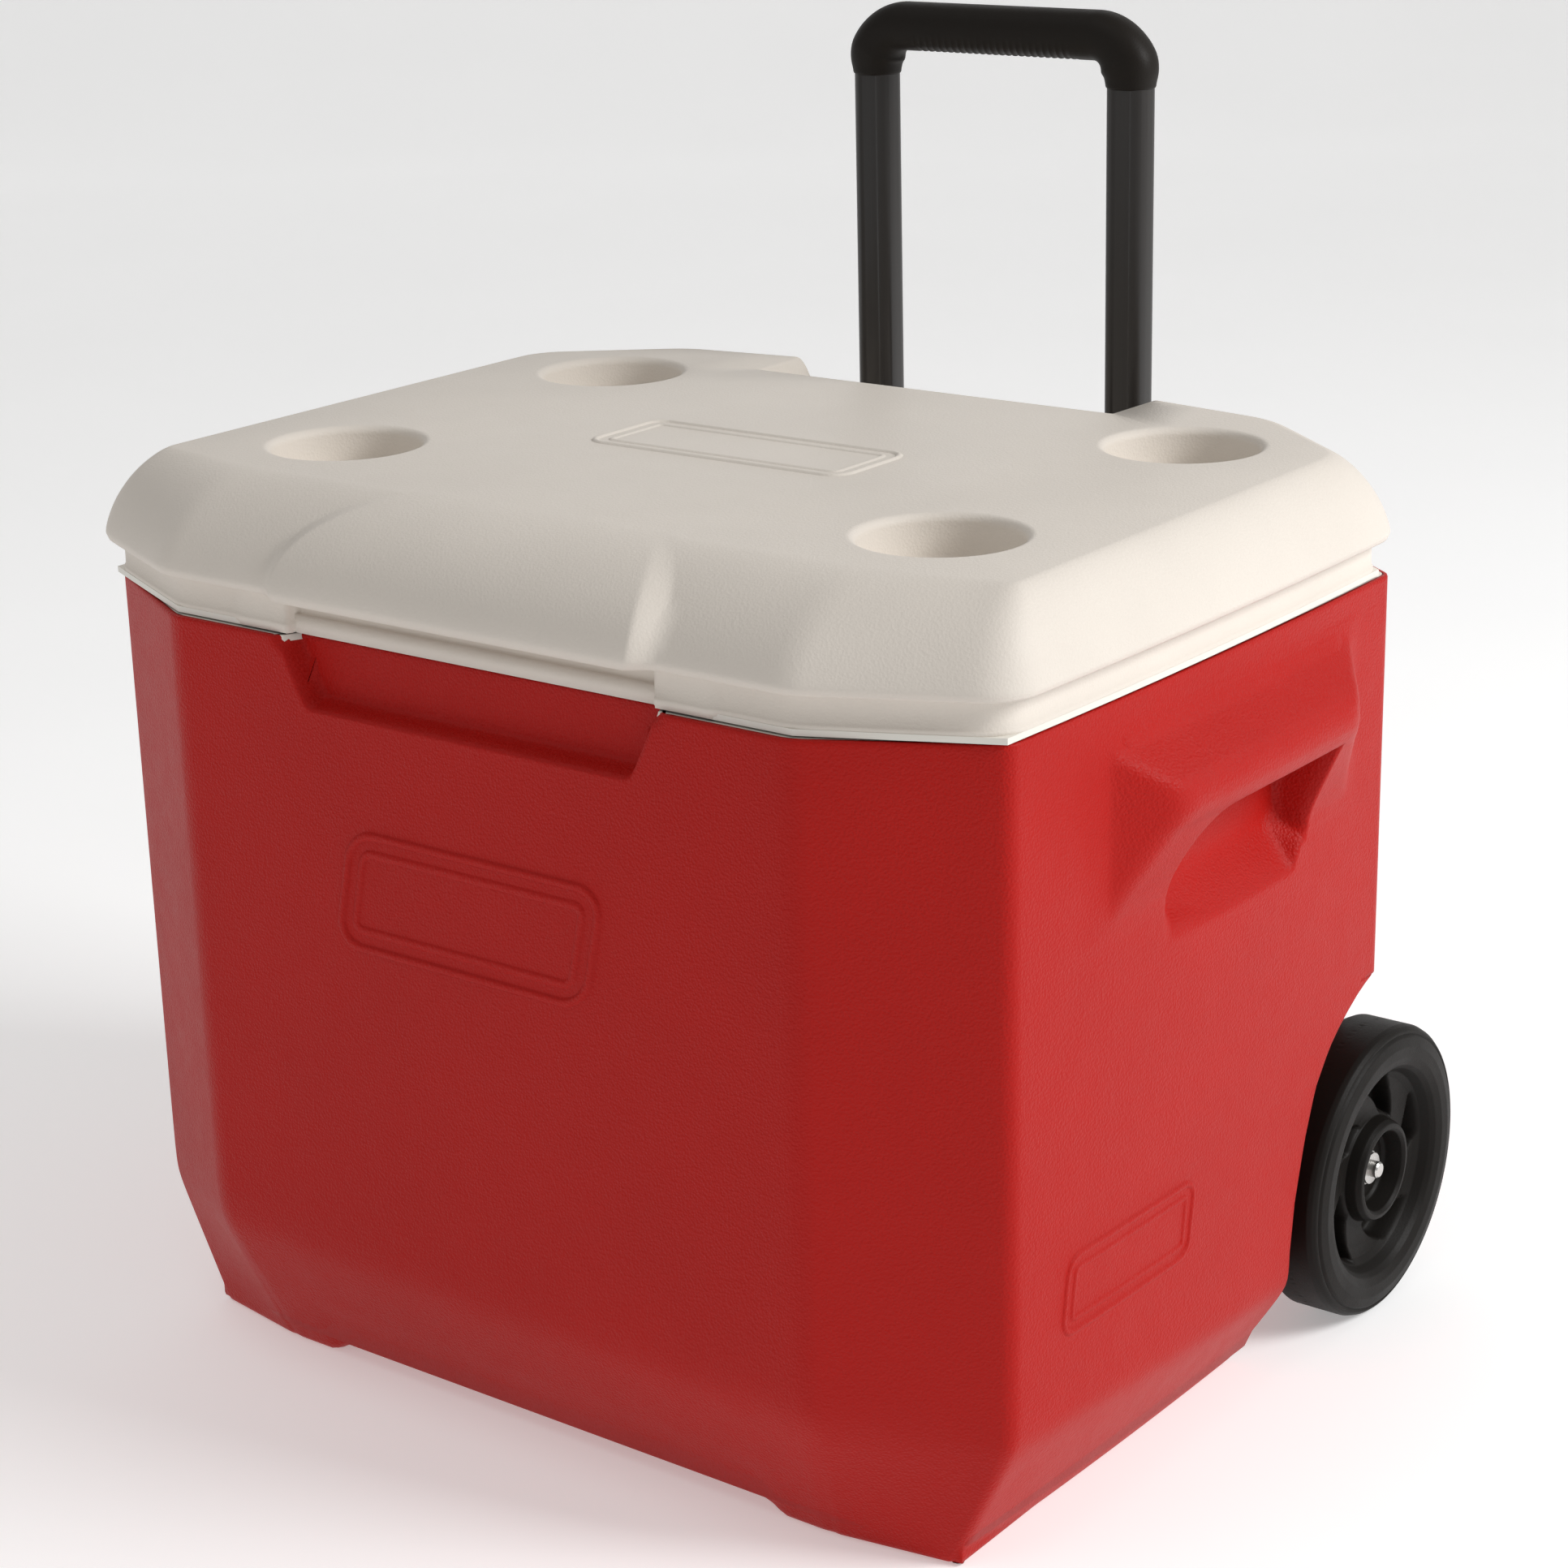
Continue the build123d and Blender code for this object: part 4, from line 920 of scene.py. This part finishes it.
def plaqueHeights(kind):
    # two rounded beads, one inside the other, each following a rounded rectangle
    width, height, corner, slant, halfBead, rise, gap = plaqueLook[kind]
    a = np.arange(-width / 2 - 4, width / 2 + 4.1, 0.8)[None, :]
    b = np.arange(-height / 2 - 4, height / 2 + 4.1, 0.8)[:, None]
    total = np.zeros((b.size, a.size))
    for shrink, tall in ((0.0, 1.0), (gap, 0.75)):
        hx, hy, r = width / 2 - shrink, height / 2 - shrink, max(corner - shrink, 3.0)
        qx, qy = np.abs(a) - hx + r, np.abs(b) - hy + r
        away = np.hypot(np.maximum(qx, 0), np.maximum(qy, 0)) + np.minimum(np.maximum(qx, qy), 0) - r
        total = np.maximum(total, rise * tall * np.sqrt(np.clip(1 - (away / halfBead) ** 2, 0, 1)))
    return a + slant * b, b + 0 * a, total - 0.3


def sideFace(setback, height):
    # half width of the red side, with its bow and the lean below its knee
    (c2x, c2s), (c3x, c3s) = shellLook["sideCorner"], shellLook["rearCorner"]
    along = np.clip((setback - c2s) / (c3s - c2s), 0, 1)
    knee = np.interp(setback, [c2s, 300], shellLook["kneeSide"])
    lean = softRamp(knee - height, shellLook["kneeBlend"][1]) / knee * (shellLook["inset"] - 1.5)
    return c2x + (c3x - c2x) * along + shellLook["bow"] * 4 * along * (1 - along) - lean


def addPlaque(name, x, s, z, body, slot, faceOut=False):
    points = np.stack([x, s, z], axis=-1) * mm
    points[..., 1] += frontY
    addPiece(name, meshFromGrid(name, points, faceOut=faceOut), body, finishes[finishOfSlot[slot]])


def makePlaques():
    rim = rimZ / mm
    a, b, h = plaqueHeights("front")
    across, below = plaquePlace["front"]
    addPlaque("front_plaque", a + across, -h, rim - below + b, "chest", "red_body")
    a, b, h = plaqueHeights("lid")
    across, behind = plaquePlace["lid"]
    addPlaque("lid_plaque", a + across, behind + b, topZ / mm + h, "lid", "white_lid", faceOut=True)
    a, b, h = plaqueHeights("side")
    behind, below = plaquePlace["side"]
    for side, word in ((-1, "left"), (1, "right")):
        setback, height = behind + side * a, rim - below + b
        x = side * (sideFace(setback, height) + h)
        addPlaque(f"side_plaque_{word}", x, setback, height, "chest", "red_body")


makePlaques()
print("plaques made")


# Stage, lights and camera
view = {
    # where the camera stands from the middle of the front rim, and how it is turned
    "place": (1.02244, -1.09689, 0.43581),
    "azimuth": 37.25,
    "elevation": 18.31,
    "roll": 1.41,
    "lens": 76.90,
    "sensor": 36.0,
}


def setCamera():
    camera = bpy.data.objects.new("camera", bpy.data.cameras.new("camera"))
    camera.data.lens = view["lens"]
    camera.data.sensor_width = view["sensor"]
    camera.data.clip_end = 50
    a, e, r = (np.radians(view[k]) for k in ("azimuth", "elevation", "roll"))
    back = Vector((np.sin(a) * np.cos(e), -np.cos(a) * np.cos(e), np.sin(e)))
    right = Vector((0, 0, 1)).cross(back).normalized()
    up = back.cross(right)
    turnedRight = right * np.cos(r) - up * np.sin(r)
    turnedUp = right * np.sin(r) + up * np.cos(r)
    turn = Matrix((turnedRight, turnedUp, back)).transposed().to_4x4()
    camera.matrix_world = Matrix.Translation(Vector((0, frontY, rimZ)) + Vector(view["place"])) @ turn
    bpy.context.scene.collection.objects.link(camera)
    bpy.context.scene.camera = camera


def areaLight(name, place, target, size, power):
    lamp = bpy.data.lights.new(name, "AREA")
    lamp.shape, lamp.size, lamp.size_y = "RECTANGLE", size[0], size[1]
    lamp.energy = power
    light = bpy.data.objects.new(name, lamp)
    light.location = place
    light.rotation_euler = (Vector(target) - Vector(place)).to_track_quat("-Z", "Y").to_euler()
    bpy.context.scene.collection.objects.link(light)


studio = {
    "floorGlow": 0.32,            # keeps the pale floor and backdrop close to white
    "floor": (6.0, 1.5, 5.0, 9.0),    # reach, bend radius, backdrop height and half width in metres
    "air": (1, 0.985, 0.97, 1),
    "airStrength": 0.30,
}
lamps = {
    # name: place, target, width and height, power
    "rightKey": ((2.7, 0.85, 2.1), (0, 0, 0.25), (1.3, 1.3), 84),
    "topFill": ((-0.5, -1.4, 3.0), (0, 0, 0.4), (2.6, 2.2), 12),
    "frontFill": ((-1.2, -3.4, 1.6), (0, 0, 0.3), (2.4, 1.8), 6),
}


def makeStage():
    # floor that curves up into a backdrop behind the chest: flat, then a quarter circle, then upright
    reach, bend, height, half = studio["floor"]
    turn = np.linspace(0, np.pi / 2, 12)
    profile = np.r_[[[-reach, 0.0]], np.c_[reach - bend + bend * np.sin(turn), bend - bend * np.cos(turn)],
                    [[reach, height]]]
    across = np.linspace(-half, half, 12)
    forward = Vector((-np.sin(np.radians(view["azimuth"])), np.cos(np.radians(view["azimuth"])), 0))
    sideways = Vector((forward.y, -forward.x, 0))
    points = (profile[:, None, :1] * np.array(forward) + across[None, :, None] * np.array(sideways)
              + profile[:, None, 1:] * np.array((0, 0, 1)))
    mesh = meshFromGrid("floor", points, faceOut=False)
    floor = bpy.data.objects.new("floor", mesh)
    mesh.polygons.foreach_set("use_smooth", np.ones(len(mesh.polygons), bool))
    shader = Shader("paleFloor", Roughness=0.85)
    paint = shader.noise(3.0, 2.0)
    shader.feed("Base Color", shader.mix(paint, (0.86, 0.86, 0.86, 1), (0.90, 0.90, 0.90, 1)))
    shader.principled.inputs["Emission Color"].default_value = (1, 1, 1, 1)
    shader.principled.inputs["Emission Strength"].default_value = studio["floorGlow"]
    mesh.materials.append(shader.material)
    bpy.context.scene.collection.objects.link(floor)

    world = bpy.data.worlds.new("studio")
    world.use_nodes = True
    air = world.node_tree.nodes["Background"].inputs
    air["Color"].default_value, air["Strength"].default_value = studio["air"], studio["airStrength"]
    bpy.context.scene.world = world
    for name, (place, target, size, power) in lamps.items():
        areaLight(name, place, target, size, power)


setCamera()
makeStage()
bpy.context.scene.view_settings.view_transform = "Standard"
